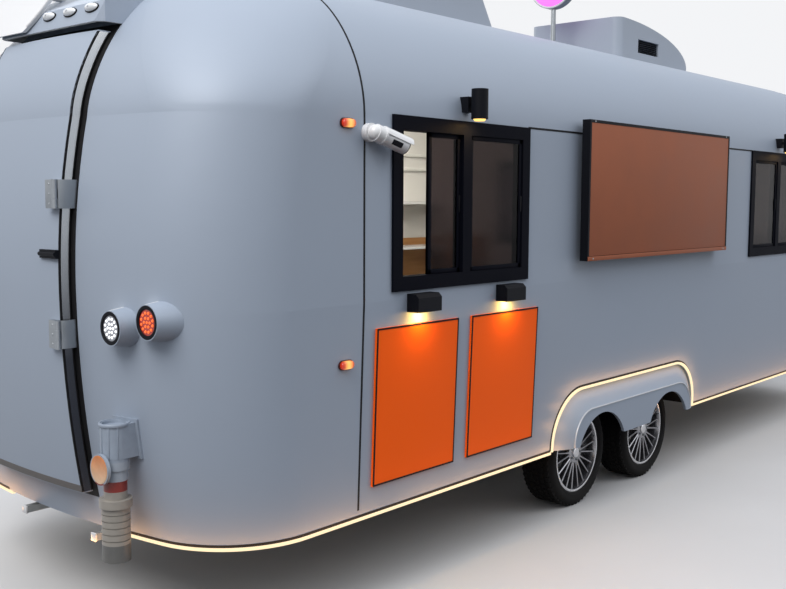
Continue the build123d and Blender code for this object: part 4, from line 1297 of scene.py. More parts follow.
@dataclass(frozen=True)
class MenuBoards(SubAssembly):
    """Dark edging of the blank boards, and the lamps over them."""

    lean: float = math.atan(0.036)
    edging: float = 0.007
    proud: float = 0.0012
    sunk: float = 0.002
    short: float = 0.0006
    lamp_half: Span = (0.055, 0.020)
    face_z: Span = (-0.0008, 0.004)
    lamp_power: float = 0.75
    lamp_size: float = 0.03
    lamp_place: Point = (0.0, -0.006, -0.004)
    lamp_throw: Point = (0.0, 0.045, -0.20)
    warm: Colour = (1.0, 0.60, 0.14)

    def build(self) -> None:
        """Edge the boards and light them."""
        edges, faces = MeshWork(), MeshWork()
        for low, high in self.solids("menu_boards"):
            place = Matrix.Translation((0.0, low.y, high.z)) @ Matrix.Rotation(self.lean, 4, "X")
            drop = (high.z - low.z) / math.cos(self.lean) - self.short
            near, far = (-self.proud, self.sunk)
            for x in (low.x, high.x - self.edging):
                edges.block((x, near, -drop), (x + self.edging, far, 0.0), 0.0, place)
            for z in (-self.edging, -drop):
                edges.block((low.x, near, z), (high.x, far, z + self.edging), 0.0, place)
        half_x, half_y = self.lamp_half
        face_low, face_high = self.face_z
        for low, high in self.solids("box_lamps"):
            middle = (low + high) / 2
            faces.block((middle.x - half_x, middle.y - half_y, low.z + face_low),
                        (middle.x + half_x, middle.y + half_y, low.z + face_high))
            spot = Vector((middle.x, middle.y, low.z)) + Vector(self.lamp_place)
            aim = spot + Vector(self.lamp_throw)
            add_lamp("board_glow", spot, aim, self.lamp_size, self.lamp_power, self.warm)
        edges.done("board_edging", Finishes.BLACK, "black_plastic")
        faces.done("box_lamp_faces", Finishes.WARM_BULB, "strip_light")


@dataclass(frozen=True)
class SignBoard:
    """Blank copper face of the sign, with a ledge and rivets."""

    rim: float = 0.014
    recess: float = 0.005
    ledge: float = 0.022
    rivet: float = 0.005
    ledge_proud: float = 0.002
    ledge_back: float = 0.003
    edge: float = 0.001
    rivet_inset: float = 0.05

    def build(self) -> None:
        """Fill the recess and fit the ledge."""
        low, high = node_box("sign_board")
        face, rivets = MeshWork(), MeshWork()
        face.block((low.x + self.rim, low.y + 0.0015, low.z + self.ledge + 0.002),
                   (high.x - self.rim, low.y + self.recess + 0.002, high.z - self.rim), self.edge)
        face.block((low.x, low.y - self.ledge_proud, low.z),
                   (high.x, low.y + self.ledge_back, low.z + self.ledge), self.edge)
        cap = [(0.0, self.rivet / 2), (self.rivet * 0.7, self.rivet * 0.35), (self.rivet, 0.0), (0.0, 0.0)]
        for x in (low.x + self.rivet_inset, high.x - self.rivet_inset):
            for z, proud in ((low.z + self.ledge / 2, self.ledge_proud), (high.z - self.rim / 2, 0.0)):
                rivets.lathe(cap, facing(Vector((x, low.y - proud, z)), -Y), 12)
        face.done("sign_face", Finishes.COPPER, "copper_panel")
        rivets.done("sign_rivets", Finishes.STEEL, "steel")


@dataclass(frozen=True)
class SpotLamps(SubAssembly):
    """Cooling ribs and lit faces of the spot lamps over the windows."""

    radius: float = 0.036
    ribs: int = 22
    rib: Point = (0.0032, 0.0022, 0.104)
    rib_sunk: float = 0.0016
    face_radius: float = 0.027
    power: float = 0.6
    lamp_size: float = 0.04
    lamp_drop: float = 0.012
    throw: float = 0.2
    warm: Colour = (1.0, 0.62, 0.22)

    def build(self) -> None:
        """Rib the barrels and light them."""
        seats, faces = [], MeshWork()
        face = self.face_radius
        glass = [(0.0, 0.009), (face - 0.005, 0.008), (face, 0.0), (face, -0.004), (0.0, -0.004)]
        for low, high in self.solids("spot_lamps"):
            reach = max(abs(low.y), abs(high.y))
            axis = (low + high) / 2
            axis.y = side_of(low).value * (reach - self.radius)
            for step in range(self.ribs):
                turn = 2 * math.pi * step / self.ribs
                out = Vector((math.cos(turn), math.sin(turn), 0.0))
                seats.append(Seat(axis + (self.radius - self.rib_sunk) * out, Z, out))
            foot = Vector((axis.x, axis.y, low.z))
            faces.lathe(glass, facing(foot, -Z), 24)
            lamp = foot - self.lamp_drop * Z
            add_lamp("spot_glow", lamp, foot - self.throw * Z, self.lamp_size, self.power, self.warm)
        item = MeshWork()
        size = Vector(self.rib) / 2
        item.block(-size, size)
        ribs = MeshWork()
        ribs.take(Repeats.mesh(item, seats, Finishes.BLACK))
        ribs.done("spot_lamp_ribs", Finishes.BLACK, "black_plastic")
        faces.done("spot_lamp_faces", Finishes.WARM_BULB, "strip_light")


@dataclass(frozen=True)
class RoadWheel:
    """Treaded tyre, rim with paired spokes, machined lip, cap and bolts of one wheel."""

    side: Side
    end: str
    tread_radius: float = 0.289
    tread_depth: float = 0.007
    rows: int = 5
    row_width: float = 0.027
    row_gap: float = 0.0065
    blocks: int = 54
    lip: Span = (0.2005, 0.2130)
    lip_face: float = 0.0860
    lip_studs: int = 30
    sidewall: Pairs = ((0.206, 0.079), (0.2135, 0.0862), (0.2185, 0.0925), (0.2260, 0.0950), (0.2280, 0.0964),
                       (0.2300, 0.0954), (0.2450, 0.0975), (0.2560, 0.0970), (0.2660, 0.0930),
                       (0.2740, 0.0868))
    tread_edge: Pairs = ((-0.001, 0.0800), (0.0, 0.0700))
    bead_seat: Span = (0.2100, 0.0600)
    block_share: float = 0.80
    block_taper: float = 0.88
    block_sunk: float = 0.0004
    block_root: float = 0.002
    shoulder_lean: float = 0.28
    barrel: Pairs = ((0.2130, -0.0860), (0.2130, 0.0860), (0.2005, 0.0860), (0.1955, 0.0740), (0.1810, 0.0),
                     (0.1955, -0.0740), (0.2005, -0.0860))
    hub_face: float = 0.076
    hub_radius: float = 0.060
    hub_edge: float = 0.005
    hub_back: float = -0.020
    bore: Span = (0.0283, 0.040)
    spoke_pairs: int = 10
    spoke_root: Span = (0.054, 0.100)
    spoke_tip: Span = (0.1985, 0.150)
    spoke_cuts: tuple[Point, ...] = ((0.0, 0.0125, 0.032), (0.3, 0.0095, 0.026), (1.0, 0.0085, 0.018))
    spoke_edge: float = 0.0025
    spoke_set: float = 0.002
    spoke_tip_reach: float = 0.0785
    cap_radius: float = 0.028
    bolts: int = 5
    bolt_circle: float = 0.042
    bolt_radius: float = 0.0075
    bolt_proud: float = 0.007
    valve_turn: float = 0.3
    valve_radius: float = 0.192
    valve_back: float = 0.022
    steps: int = 96

    def name(self) -> str:
        """Name of the wheel, as the record writes it."""
        return f"{self.side.name.lower()}_{self.end}"

    def body(self) -> str:
        """Name of the body that turns."""
        return f"wheel_{self.name()}"

    def centre(self) -> Vector:
        """Middle of the tyre."""
        low, high = node_box(f"tyre_{self.name()}")
        return (low + high) / 2

    def outward(self) -> Vector:
        """Direction from the trailer to the wheel's outer face."""
        return self.side.value * Y

    def place(self) -> Matrix:
        """Middle of the wheel, with Z along its axle."""
        return facing(self.centre(), self.outward())

    def around(self, turn: float, radius: float, reach: float) -> Ray:
        """Point at an angle, radius and distance outwards, with the radial direction."""
        out = Vector((math.cos(turn), 0.0, math.sin(turn)))
        return self.centre() + radius * out + self.side.value * reach * Y, out

    def tyre(self) -> None:
        """Make the carcass with its tread blocks; it stands for the CAD tyre."""
        base = self.tread_radius - self.tread_depth
        half = list(self.sidewall) + [(base + rise, reach) for rise, reach in self.tread_edge]
        radius, reach = self.bead_seat
        outline = half + [(wide, -far) for wide, far in reversed(half)] + [(radius, -reach), (radius, reach)]
        work = MeshWork()
        work.lathe(outline, self.place(), self.steps, ring=True)
        item = MeshWork()
        length = 2 * math.pi * base / self.blocks * self.block_share
        item.block((-self.row_width / 2, -length / 2, -self.block_root),
                   (self.row_width / 2, length / 2, self.tread_depth), taper=self.block_taper)
        seats = []
        for row in range(self.rows):
            reach = (row - (self.rows - 1) / 2) * (self.row_width + self.row_gap)
            lean = self.shoulder_lean if row in (0, self.rows - 1) else 0.0
            for step in range(self.blocks):
                turn = 2 * math.pi * (step + 0.5 * (row % 2)) / self.blocks
                spot, out = self.around(turn, base - self.block_sunk, reach)
                along = Y + lean * self.side.value * out.cross(Y) * (1 if reach > 0 else -1)
                seats.append(Seat(spot, out, along))
        work.take(Repeats.mesh(item, seats, Finishes.TYRE))
        piece = work.done(f"treaded_tyre_{self.name()}", Finishes.TYRE, "tyre", self.body(), crease=30.0)
        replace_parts(piece, f"tyre_{self.name()}")

    def spoke(self) -> MeshWork:
        """Make one spoke along X, with its face up."""
        length = self.spoke_tip[0] - self.spoke_root[0]
        rings = []
        for share, width, depth in self.spoke_cuts:
            half, edge = width / 2, self.spoke_edge
            outline = ((-half, -depth), (half, -depth), (half, -edge), (half - edge, 0.0), (edge - half, 0.0),
                       (-half, -edge))
            rings.append([Vector((share * length, y, z)) for y, z in outline])
        work = MeshWork()
        work.loft(rings)
        return work

    def rim(self) -> None:
        """Make the barrel, the bored hub and the paired spokes; it stands for the CAD rim."""
        outward = self.outward()
        work = MeshWork()
        work.lathe(self.barrel, self.place(), self.steps, ring=True)
        bore_radius, bore_end = self.bore
        work.lathe([(0.0, bore_end), (bore_radius, bore_end), (bore_radius, self.hub_back),
                    (self.hub_radius, self.hub_back), (self.hub_radius, self.hub_face - self.hub_edge),
                    (self.hub_radius - self.hub_edge, self.hub_face), (0.0, self.hub_face)],
                   self.place(), self.steps // 2)
        root_radius, root_lean = self.spoke_root
        tip_radius, tip_lean = self.spoke_tip
        seats = []
        for pair in range(self.spoke_pairs):
            middle = 2 * math.pi * pair / self.spoke_pairs
            for way in (-1, 1):
                root, _ = self.around(middle + way * root_lean, root_radius, self.hub_face - self.spoke_set)
                tip, _ = self.around(middle + way * tip_lean, tip_radius, self.spoke_tip_reach)
                along = (tip - root).normalized()
                up = (outward - outward.dot(along) * along).normalized()
                seats.append(Seat(root, up, along))
        work.take(Repeats.mesh(self.spoke(), seats, Finishes.ALLOY))
        piece = work.done(f"spoked_rim_{self.name()}", Finishes.ALLOY, "alloy", self.body())
        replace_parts(piece, f"rim_{self.name()}")

    def trim(self) -> None:
        """Add the lip ring with its studs, the centre cap, the bolts and the valve."""
        outward = self.outward()
        bright = MeshWork()
        inner, outer = self.lip
        face = self.lip_face
        ring = [(inner, face - 0.003), (inner, face + 0.0006), (inner + 0.003, face + 0.0018),
                (outer - 0.003, face + 0.0018), (outer, face + 0.0002), (outer, face - 0.003)]
        bright.lathe(ring, self.place(), self.steps, ring=True)
        stud = MeshWork()
        stud.lathe([(0.0, 0.0), (0.0024, 0.0), (0.0018, 0.0014), (0.0, 0.0016)], Matrix.Identity(4), 8)
        seats = []
        for step in range(self.lip_studs):
            spot, out = self.around(2 * math.pi * step / self.lip_studs, (inner + outer) / 2, face + 0.0016)
            seats.append(Seat(spot, outward, out))
        bright.take(Repeats.mesh(stud, seats, Finishes.LIP))
        wide = self.cap_radius
        cap = [(0.0, -0.002), (wide, -0.002), (wide, 0.004), (wide - 0.003, 0.007), (wide - 0.008, 0.0075),
               (0.0, 0.0095)]
        bright.lathe(cap, facing(self.centre() + self.hub_face * outward, outward), 32)
        bright.done(f"rim_lip_{self.name()}", Finishes.LIP, "alloy", self.body())
        bolts = MeshWork()
        size = self.bolt_radius
        head = [(0.0, -0.010), (size, -0.010), (size, -0.002), (size * 0.8, 0.0), (size * 0.5, 0.0),
                (size * 0.45, -0.004), (0.0, -0.004)]
        for step in range(self.bolts):
            turn = 2 * math.pi * step / self.bolts
            spot, _ = self.around(turn, self.bolt_circle, self.hub_face + self.bolt_proud)
            bolts.lathe(head, facing(spot, outward), 6)
        valve, _ = self.around(self.valve_turn, self.valve_radius, face - self.valve_back)
        stem = [(0.0, 0.0), (0.0035, 0.0), (0.0035, 0.012), (0.002, 0.020), (0.0, 0.020)]
        bolts.lathe(stem, facing(valve, outward), 10)
        bolts.done(f"wheel_bolts_{self.name()}", Finishes.STEEL, "steel", self.body())

    def build(self) -> None:
        """Make the wheel's pieces."""
        self.tyre()
        self.rim()
        self.trim()


@dataclass(frozen=True)
class FlareBeads:
    """Rolled edge where each flare turns down to its skirt, in a light finish that is a painted highlight."""

    half: float = 0.674
    top: float = 0.572
    corner: float = 0.172
    low_z: float = 0.394
    face_y: float = 1.074
    radius: float = 0.0045

    def build(self, trim: ShellTrim) -> None:
        """Lay one bead on each side.

        Args:
            trim: the trim whose arch the beads lie inside.
        """
        work = MeshWork()
        shape = replace(trim, arch_half=self.half, arch_top=self.top, arch_corner=self.corner)
        spots = shape.arch_spots(0.0, self.low_z)
        for side in Side:
            points = [Vector((x, side.value * self.face_y, z)) for x, z in spots]
            path = []
            for place, point in enumerate(points):
                along = points[min(place + 1, len(points) - 1)] - points[max(place - 1, 0)]
                path.append((point, along.cross(Y).normalized(), side.value * Y))
            work.sweep(path, bead(self.radius))
        work.done("flare_beads", Finishes.FLARE_EDGE_HIGHLIGHT, "shell_paint")


@dataclass(frozen=True)
class RearLamps(SubAssembly):
    """Bezels, lenses and diodes of the four rear lamps."""

    bezel: Span = (0.0455, 0.0600)
    lens_radius: float = 0.0462
    diode_radius: float = 0.0058
    diode_sunk: float = 0.0018
    rings: tuple[tuple[int, float, float], ...] = ((1, 0.0, 0.0), (6, 0.0165, 0.0), (12, 0.0335, 0.5))
    split_y: float = 0.70

    def build(self) -> None:
        """Make every lamp."""
        black, clear, amber = MeshWork(), MeshWork(), MeshWork()
        seats: dict[bool, list[Seat]] = {True: [], False: []}
        inner, outer = self.bezel
        bezel = [(inner, 0.0), (inner, 0.0035), (inner + 0.003, 0.0062), (outer - 0.002, 0.0062),
                 (outer, 0.0045), (outer, 0.0)]
        wide = self.lens_radius
        lens = [(0.0, 0.0025), (wide * 0.8, 0.0020), (wide, 0.0010), (wide, -0.001), (0.0, -0.001)]
        for low, high in self.solids("lamp_lenses"):
            face = (low + high) / 2
            face.x = low.x
            is_amber = abs(face.y) > self.split_y
            black.lathe(bezel, facing(face, -X), 48, ring=True)
            (amber if is_amber else clear).lathe(lens, facing(face, -X), 40)
            for count, radius, shift in self.rings:
                for step in range(count):
                    turn = 2 * math.pi * (step + shift) / count
                    spot = face + radius * (math.cos(turn) * Y + math.sin(turn) * Z) - self.diode_sunk * X
                    seats[is_amber].append(Seat(spot, -X, Y))
        black.done("rear_lamp_bezels", Finishes.BLACK, "black_plastic")
        clear.done("rear_lamp_white_lenses", Finishes.LENS, "lamp_lens")
        amber.done("rear_lamp_amber_lenses", Finishes.AMBER_BACK, "marker_lens")
        size = self.diode_radius
        diode = [(0.0, 0.0), (size, 0.0), (size * 0.8, size * 0.45), (0.0, size * 0.6)]
        for is_amber, name, finish, slot in (
                (False, "rear_lamp_white_diodes", Finishes.WHITE_LED, "lamp_lens"),
                (True, "rear_lamp_amber_diodes", Finishes.AMBER_LED, "marker_lens")):
            item = MeshWork()
            item.lathe(diode, Matrix.Identity(4), 12)
            diodes = MeshWork()
            diodes.take(Repeats.mesh(item, seats[is_amber], finish))
            diodes.done(name, finish, slot)


@dataclass(frozen=True)
class DoorTrim(SubAssembly):
    """Metal strip between black bands on the rear door's hinge edge, its foot strip and hinge plates."""

    half: float = 0.345
    low_z: float = 0.540
    high_z: float = 2.270
    line_half: float = 0.002
    line_inset: float = 0.001
    strip_share: Span = (0.15, 0.86)
    last_share: float = 0.995
    skin_depth: float = 0.0008
    skin_root: float = 0.001
    proud: float = 0.0012
    edge_probe: float = 0.002
    knuckle_gap: float = 0.01
    foot_rise: float = 0.012
    foot_half: float = 0.013
    foot_proud: float = 0.0022
    foot_steps: int = 24
    plate_half: float = 0.0525
    plate_span: Span = (0.012, 0.060)
    plate_lap: Span = (0.001, 0.004)
    plate_edge: float = 0.0015
    screw_z: tuple[float, ...] = (-0.036, 0.0, 0.036)
    knuckle_radius: float = 0.0102
    knuckle_wall: float = 0.0012
    knuckle_half: float = 0.0165
    cover_x: Span = (0.0115, 0.003)
    cover_y: Span = (-0.0075, -0.001)
    cover_edge: float = 0.001
    probe: float = 0.01
    hinge_heights: tuple[float, ...] = (1.150, 1.665)
    inner_x: float = -3.0

    def rays(self, y: float, low: float, high: float, steps: int = 60) -> list[Ray]:
        """Rays at the door's face at one distance across, from one height to another."""
        return [(Vector((BEHIND, y, low + (high - low) * step / steps)), X) for step in range(steps + 1)]

    def edge_band(self, work: MeshWork, skin: Skin, near: float, far: float) -> None:
        """Lay a band on the leaf's hinge edge.

        Args:
            work: where its faces go.
            skin: the door's surface.
            near: where the band starts, as a share of the leaf's thickness from its face.
            far: where it ends.
        """
        path = []
        clear = self.knuckle_half + self.knuckle_gap
        for start, aim in self.rays(-self.half + self.edge_probe, self.low_z, self.high_z):
            if min(abs(start.z - height) for height in self.hinge_heights) < clear:
                continue
            face = skin.hit(start, aim)
            back = skin.hit(Vector((self.inner_x, start.y, start.z)), -aim)
            if face and back:
                depth = back[0].x - face[0].x
                path.append((Vector((face[0].x, -self.half, start.z)), depth * X, -Y))
        work.sweep(path, [(near, -self.skin_root), (far, -self.skin_root), (far, self.skin_depth),
                          (near, self.skin_depth)])

    def hinges(self, skin: Skin) -> None:
        """Add the leaf plates with their screws, a steel sleeve on each knuckle, and the fixed plates.

        Args:
            skin: the door's surface.
        """
        joints = self.frame["record"]["behaviour"]["joints"]
        pivot = Vector(next(joint["pos_m"] for joint in joints if joint["name"] == "door_swing"))
        leaves, covers = MeshWork(), MeshWork()
        screw = [(0.0, 0.0022), (0.004, 0.0016), (0.005, 0.0), (0.0, 0.0)]
        low_y, high_y = (pivot.y + step for step in self.plate_span)
        near_lap, far_lap = self.plate_lap
        outer, tall = self.knuckle_radius, self.knuckle_half
        inner = outer - self.knuckle_wall
        sleeve = band(inner, outer, -tall, tall)
        start, gap = self.cover_x
        near, far = self.cover_y
        for height in self.hinge_heights:
            face = skin.hit(Vector((BEHIND, high_y + self.probe, height)), X)
            if face is None:
                continue
            low_z, high_z = (height - self.plate_half, height + self.plate_half)
            leaves.block((pivot.x - near_lap, low_y, low_z), (face[0].x + far_lap, high_y, high_z),
                         self.plate_edge)
            for lift in self.screw_z:
                spot = Vector((pivot.x - near_lap, (low_y + high_y) / 2, height + lift))
                leaves.lathe(screw, facing(spot, -X), 12)
            leaves.lathe(sleeve, Matrix.Translation((pivot.x, pivot.y, height)), 24, ring=True)
            ends = [high.x for low, high in self.solids("door_hinges") if low.z < height + 0.1 < high.z + 0.1]
            covers.block((pivot.x + start, pivot.y + near, low_z),
                         (min(ends) - gap, pivot.y + far, high_z), self.cover_edge)
        leaves.done("door_hinge_plates", Finishes.STEEL, "steel", "door")
        covers.done("hinge_cover_plates", Finishes.STEEL, "steel")

    def build(self) -> None:
        """Trim the door."""
        skin = self.skin("rear_door")
        strip, lines, sill = MeshWork(), MeshWork(), MeshWork()
        near, far = self.strip_share
        self.edge_band(lines, skin, 0.0, near)
        self.edge_band(strip, skin, near, far)
        self.edge_band(lines, skin, far, self.last_share)
        for way in (-1.0, 1.0):
            y = way * (self.half - self.line_half - self.line_inset)
            lines.sweep(skin.path(self.rays(y, self.low_z, self.high_z)), flat(self.line_half, self.proud))
        reach = self.half - self.line_inset
        foot_z = self.low_z + self.foot_rise
        across = [(Vector((BEHIND, reach * (2 * step / self.foot_steps - 1), foot_z)), X)
                  for step in range(self.foot_steps + 1)]
        sill.sweep(skin.path(across), flat(self.foot_half, self.foot_proud))
        self.hinges(skin)
        strip.done("door_edge_strip", Finishes.DOOR_STRIP, "steel", "door")
        lines.done("door_edge_lines", Finishes.RUBBER, "black_rubber", "door")
        sill.done("door_foot_strip", Finishes.SILL, "grey_plastic", "door")


@dataclass(frozen=True)
class RearDetails(SubAssembly):
    """Brow lamps, the round plate's rolled rim, the inlet's rim and lid lining, and the step tube caps."""

    plate_radius: float = 0.400
    plate_y: float = 0.387
    plate_foot: float = 2.312
    plate_thickness: float = 0.004
    plate_probes: tuple[Span, ...] = ((0.0, 2.40), (0.0, 2.75), (0.2, 2.55))
    plate_bead: float = 0.006
    plate_steps: int = 96
    foot_gap: float = 0.01
    lid_radius: float = 0.051
    lid_z: float = 0.688
    hood: Point = (-4.058, -0.592, 0.848)
    hood_radius: float = 0.052
    hood_ribs: tuple[float, ...] = (112.0, 146.0, 180.0, 214.0, 248.0)
    rib_half: float = 0.002
    rib_reach: Span = (-0.002, 0.0028)
    rib_edge: float = 0.0008
    rib_z: Span = (0.727, 0.840)
    lamp_half: Span = (0.0165, 0.0415)
    lamp_rise: float = 0.021
    lamp_lower: float = 0.004
    gasket: float = 0.003
    tubes_y: Span = (0.157, -0.358)
    tube_z: Span = (0.343, 0.375)
    tube_half: float = 0.016
    cap_half: float = 0.004
    cap_edge: float = 0.002

    def brow_lamps(self) -> None:
        """Set an oval dome on a black gasket for each brow lamp."""
        gaskets, domes = MeshWork(), MeshWork()
        skin = self.skin("door_brow")
        gasket = [(0.0, -0.001), (1.0, -0.001), (1.0, 0.004), (0.95, 0.005), (0.0, 0.005)]
        curve = [(math.cos(math.radians(turn)), 0.1 + 0.9 * math.sin(math.radians(turn)))
                 for turn in range(0, 90, 10)]
        dome = [(0.0, 0.1), *curve, (0.0, 1.0)]
        bulb = [(0.0, 0.0), (0.006, 0.0), (0.006, 0.004), (0.0, 0.008)]
        half_x, half_y = self.lamp_half
        for low, high in self.solids("brow_lamps"):
            middle = (low + high) / 2
            found = skin.hit(Vector((BEHIND, middle.y, middle.z - self.lamp_lower)), X)
            if found is None:
                continue
            spot, normal = found
            place = Matrix.Translation(spot) @ Matrix((normal.cross(Y), Y, normal)).transposed().to_4x4()
            wide = place @ Matrix.Diagonal((half_x + self.gasket, half_y + self.gasket, 1.0, 1.0))
            gaskets.lathe(gasket, wide, 40)
            domes.lathe(dome, place @ Matrix.Diagonal((half_x, half_y, self.lamp_rise, 1.0)), 40)
            domes.lathe(bulb, place @ Matrix.Translation((0.0, 0.0, self.lamp_rise - 0.002)), 12)
        gaskets.done("brow_lamp_gaskets", Finishes.RUBBER, "black_rubber")
        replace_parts(domes.done("brow_lamp_domes", Finishes.CLEAR, "clear_lens"), "brow_lamps")

    def plate_rim(self) -> None:
        """Roll a bead round the plate's edge."""
        skin = self.skin("round_plate")
        probes = [skin.hit(Vector((BEHIND, self.plate_y + y, z)), X) for y, z in self.plate_probes]
        if None in probes:
            return
        foot, head, aside = (spot for spot, _ in probes)
        normal = (head - foot).cross(aside - foot).normalized()
        if normal.x > 0:
            normal = -normal
        rise = (head - foot).normalized()
        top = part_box("round_plate")[1][2]
        lift = (top - self.plate_thickness * abs(normal.z) - foot.z) / rise.z - self.plate_radius
        centre = foot + lift * rise
        path = []
        for step in range(self.plate_steps + 1):
            turn = 2 * math.pi * step / self.plate_steps
            out = math.cos(turn) * Y + math.sin(turn) * rise
            spot = centre + (self.plate_radius - self.plate_bead) * out
            if spot.z > self.plate_foot + self.foot_gap:
                path.append((turn, spot, out))
        path.sort(key=lambda entry: (entry[0] + math.pi / 2) % (2 * math.pi))
        work = MeshWork()
        work.sweep([(spot, out, normal) for _, spot, out in path], bead(self.plate_bead))
        work.done("plate_rim", Finishes.WHITE, "white_plastic")

    def inlet(self) -> None:
        """Line the open lid and put the rim and ribs on the hood."""
        skin = self.skin("power_inlet")
        work = MeshWork()
        hood_x, hood_y, _ = self.hood
        found = skin.hit(Vector((BEHIND, hood_y, self.lid_z)), X)
        if found:
            spot, normal = found
            wide = self.lid_radius
            lining = [(0.0, -0.001), (wide, -0.001), (wide, 0.001), (wide - 0.004, 0.0018),
                      (wide - 0.008, 0.0012), (0.0, 0.0012)]
            work.lathe(lining, facing(spot, normal), 40)
        work.done("inlet_lid_lining", Finishes.LID_FACE, "grey_plastic")
        rim = MeshWork()
        radius = self.hood_radius
        ring = [(radius - 0.003, -0.009), (radius + 0.0035, -0.009), (radius + 0.005, -0.005),
                (radius + 0.005, 0.0), (radius + 0.003, 0.003), (radius - 0.003, 0.003)]
        rim.lathe(ring, Matrix.Translation(self.hood), 48, ring=True)
        near, far = (radius + step for step in self.rib_reach)
        low_z, high_z = self.rib_z
        for degrees in self.hood_ribs:
            place = Matrix.Translation((hood_x, hood_y, 0.0)) @ Matrix.Rotation(math.radians(degrees), 4, "Z")
            rim.block((near, -self.rib_half, low_z), (far, self.rib_half, high_z), self.rib_edge, place)
        rim.done("inlet_hood_rim", Finishes.GREY, "grey_plastic")

    def tube_ends(self) -> None:
        """Cap the two step tubes."""
        work = MeshWork()
        low_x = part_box("chassis")[0][0]
        low_z, high_z = self.tube_z
        for y in self.tubes_y:
            work.block((low_x - self.cap_half, y - self.tube_half, low_z),
                       (low_x + self.cap_half, y + self.tube_half, high_z), self.cap_edge)
        work.done("step_tube_ends", Finishes.WHITE, "white_plastic")

    def build(self) -> None:
        """Make the details."""
        self.brow_lamps()
        self.plate_rim()
        self.inlet()
        self.tube_ends()


@dataclass(frozen=True)
class SideDetails(SubAssembly):
    """Round-ended marker lenses on dark bases, and the wall camera's front, window, lens and shield."""

    marker_proud: float = 0.022
    base_depth: float = 0.006
    base_root: float = 0.004
    base_shrink: float = 0.003
    lens_steps: tuple[Span, ...] = ((-0.002, 0.005), (0.014, 0.005), (0.0185, 0.007), (0.021, 0.011),
                                    (0.0218, 0.015))
    lens_taller: float = 0.002
    camera_ball: Point = (-3.215, -1.089, 1.905)
    camera_drop: float = math.radians(18.0)
    camera_turn: float = math.radians(10.0)
    camera_length: float = 0.150
    camera_radius: float = 0.034
    shield_start: float = 0.035
    shield_length: float = 0.132
    patch_start: float = 0.068
    patch_length: float = 0.050
    ring_start: float = 0.036

    @staticmethod
    def pill(middle: Vector, half_x: float, half_z: float) -> list[Vector]:
        """Outline of a level bar with round ends, in X and Z.

        Args:
            middle: the bar's middle.
            half_x: half its length.
            half_z: half its height.

        Returns:
            The outline's points.
        """
        points = []
        for step in range(24):
            turn = 2 * math.pi * (step + 0.5) / 24
            shift = math.copysign(half_x - half_z, math.cos(turn))
            points.append(middle + Vector((shift + half_z * math.cos(turn), 0.0, half_z * math.sin(turn))))
        return points

    def markers(self) -> None:
        """Seat a round-ended lens on a dark base for each marker."""
        bases, lenses = MeshWork(), MeshWork()
        for low, high in self.solids("marker_lamps"):
            side = side_of(low).value
            wall = max(abs(low.y), abs(high.y)) - self.marker_proud
            middle = (low + high) / 2
            half_x, half_z = ((high.x - low.x) / 2, (high.z - low.z) / 2 - self.base_shrink)
            middle.y = side * (wall - self.base_root)
            push = side * (self.base_depth + self.base_root) * Y
            bases.prism(self.pill(middle, half_x, half_z), push)
            rings = []
            for proud, inset in self.lens_steps:
                middle.y = side * (wall + proud)
                rings.append(self.pill(middle, half_x - inset, half_z - inset + self.lens_taller))
            lenses.loft(rings)
        bases.done("marker_bases", Finishes.MARKER_BASE, "black_plastic")
        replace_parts(lenses.done("marker_lenses", Finishes.MARKER, "marker_lens"), "marker_lamps")

    def shell_part(self, start: Vector, aim: Vector, radii: Span, turns: range) -> list[Vector]:
        """Outline of a thin curved plate round the camera's body.

        Args:
            start: a point on the body's axis.
            aim: the axis's direction.
            radii: outer and inner radius.
            turns: degrees from the top.

        Returns:
            The outline's points.
        """
        over = (Z - Z.dot(aim) * aim).normalized()
        across = aim.cross(over)
        points = []
        for radius, run in zip(radii, (turns, reversed(turns))):
            for turn in run:
                lean = math.radians(turn)
                points.append(start + radius * (math.cos(lean) * over + math.sin(lean) * across))
        return points

    def camera(self) -> None:
        """Add the camera's lens, dark front, side window, sun shield and clamp ring."""
        level = math.cos(self.camera_turn)
        aim = Vector((math.cos(self.camera_drop) * level, -math.sin(self.camera_turn),
                      -math.sin(self.camera_drop) * level)).normalized()
        start = Vector(self.camera_ball)
        front = facing(start + self.camera_length * aim, aim)
        radius = self.camera_radius
        dark, glass, shield = MeshWork(), MeshWork(), MeshWork()
        dark.lathe(band(radius - 0.008, radius, -0.004, 0.003), front, 40, ring=True)
        dark.lathe(disc(radius - 0.007, -0.006, -0.0045), front, 32)
        dome = [(0.0, 0.003), (0.006, 0.002), (0.011, -0.002), (0.012, -0.006), (0.0, -0.006)]
        glass.lathe(dome, front, 24)
        plate = self.shell_part(start + self.shield_start * aim, aim, (radius + 0.0042, radius + 0.0022),
                                range(-80, 81, 8))
        shield.prism(plate, self.shield_length * aim)
        window = self.shell_part(start + self.patch_start * aim, aim, (radius + 0.0007, radius - 0.001),
                                 range(96, 133, 6))
        dark.prism(window, self.patch_length * aim)
        clamp = band(radius - 0.002, radius + 0.0025, -0.005, 0.005)
        shield.lathe(clamp, facing(start + self.ring_start * aim, aim), 40, ring=True)
        dark.done("camera_front", Finishes.BLACK, "black_plastic")
        glass.done("camera_lens", Finishes.BLACK_GLASS, "black_plastic")
        shield.done("camera_shield", Finishes.WHITE, "white_plastic")

    def build(self) -> None:
        """Make the details."""
        self.markers()
        self.camera()


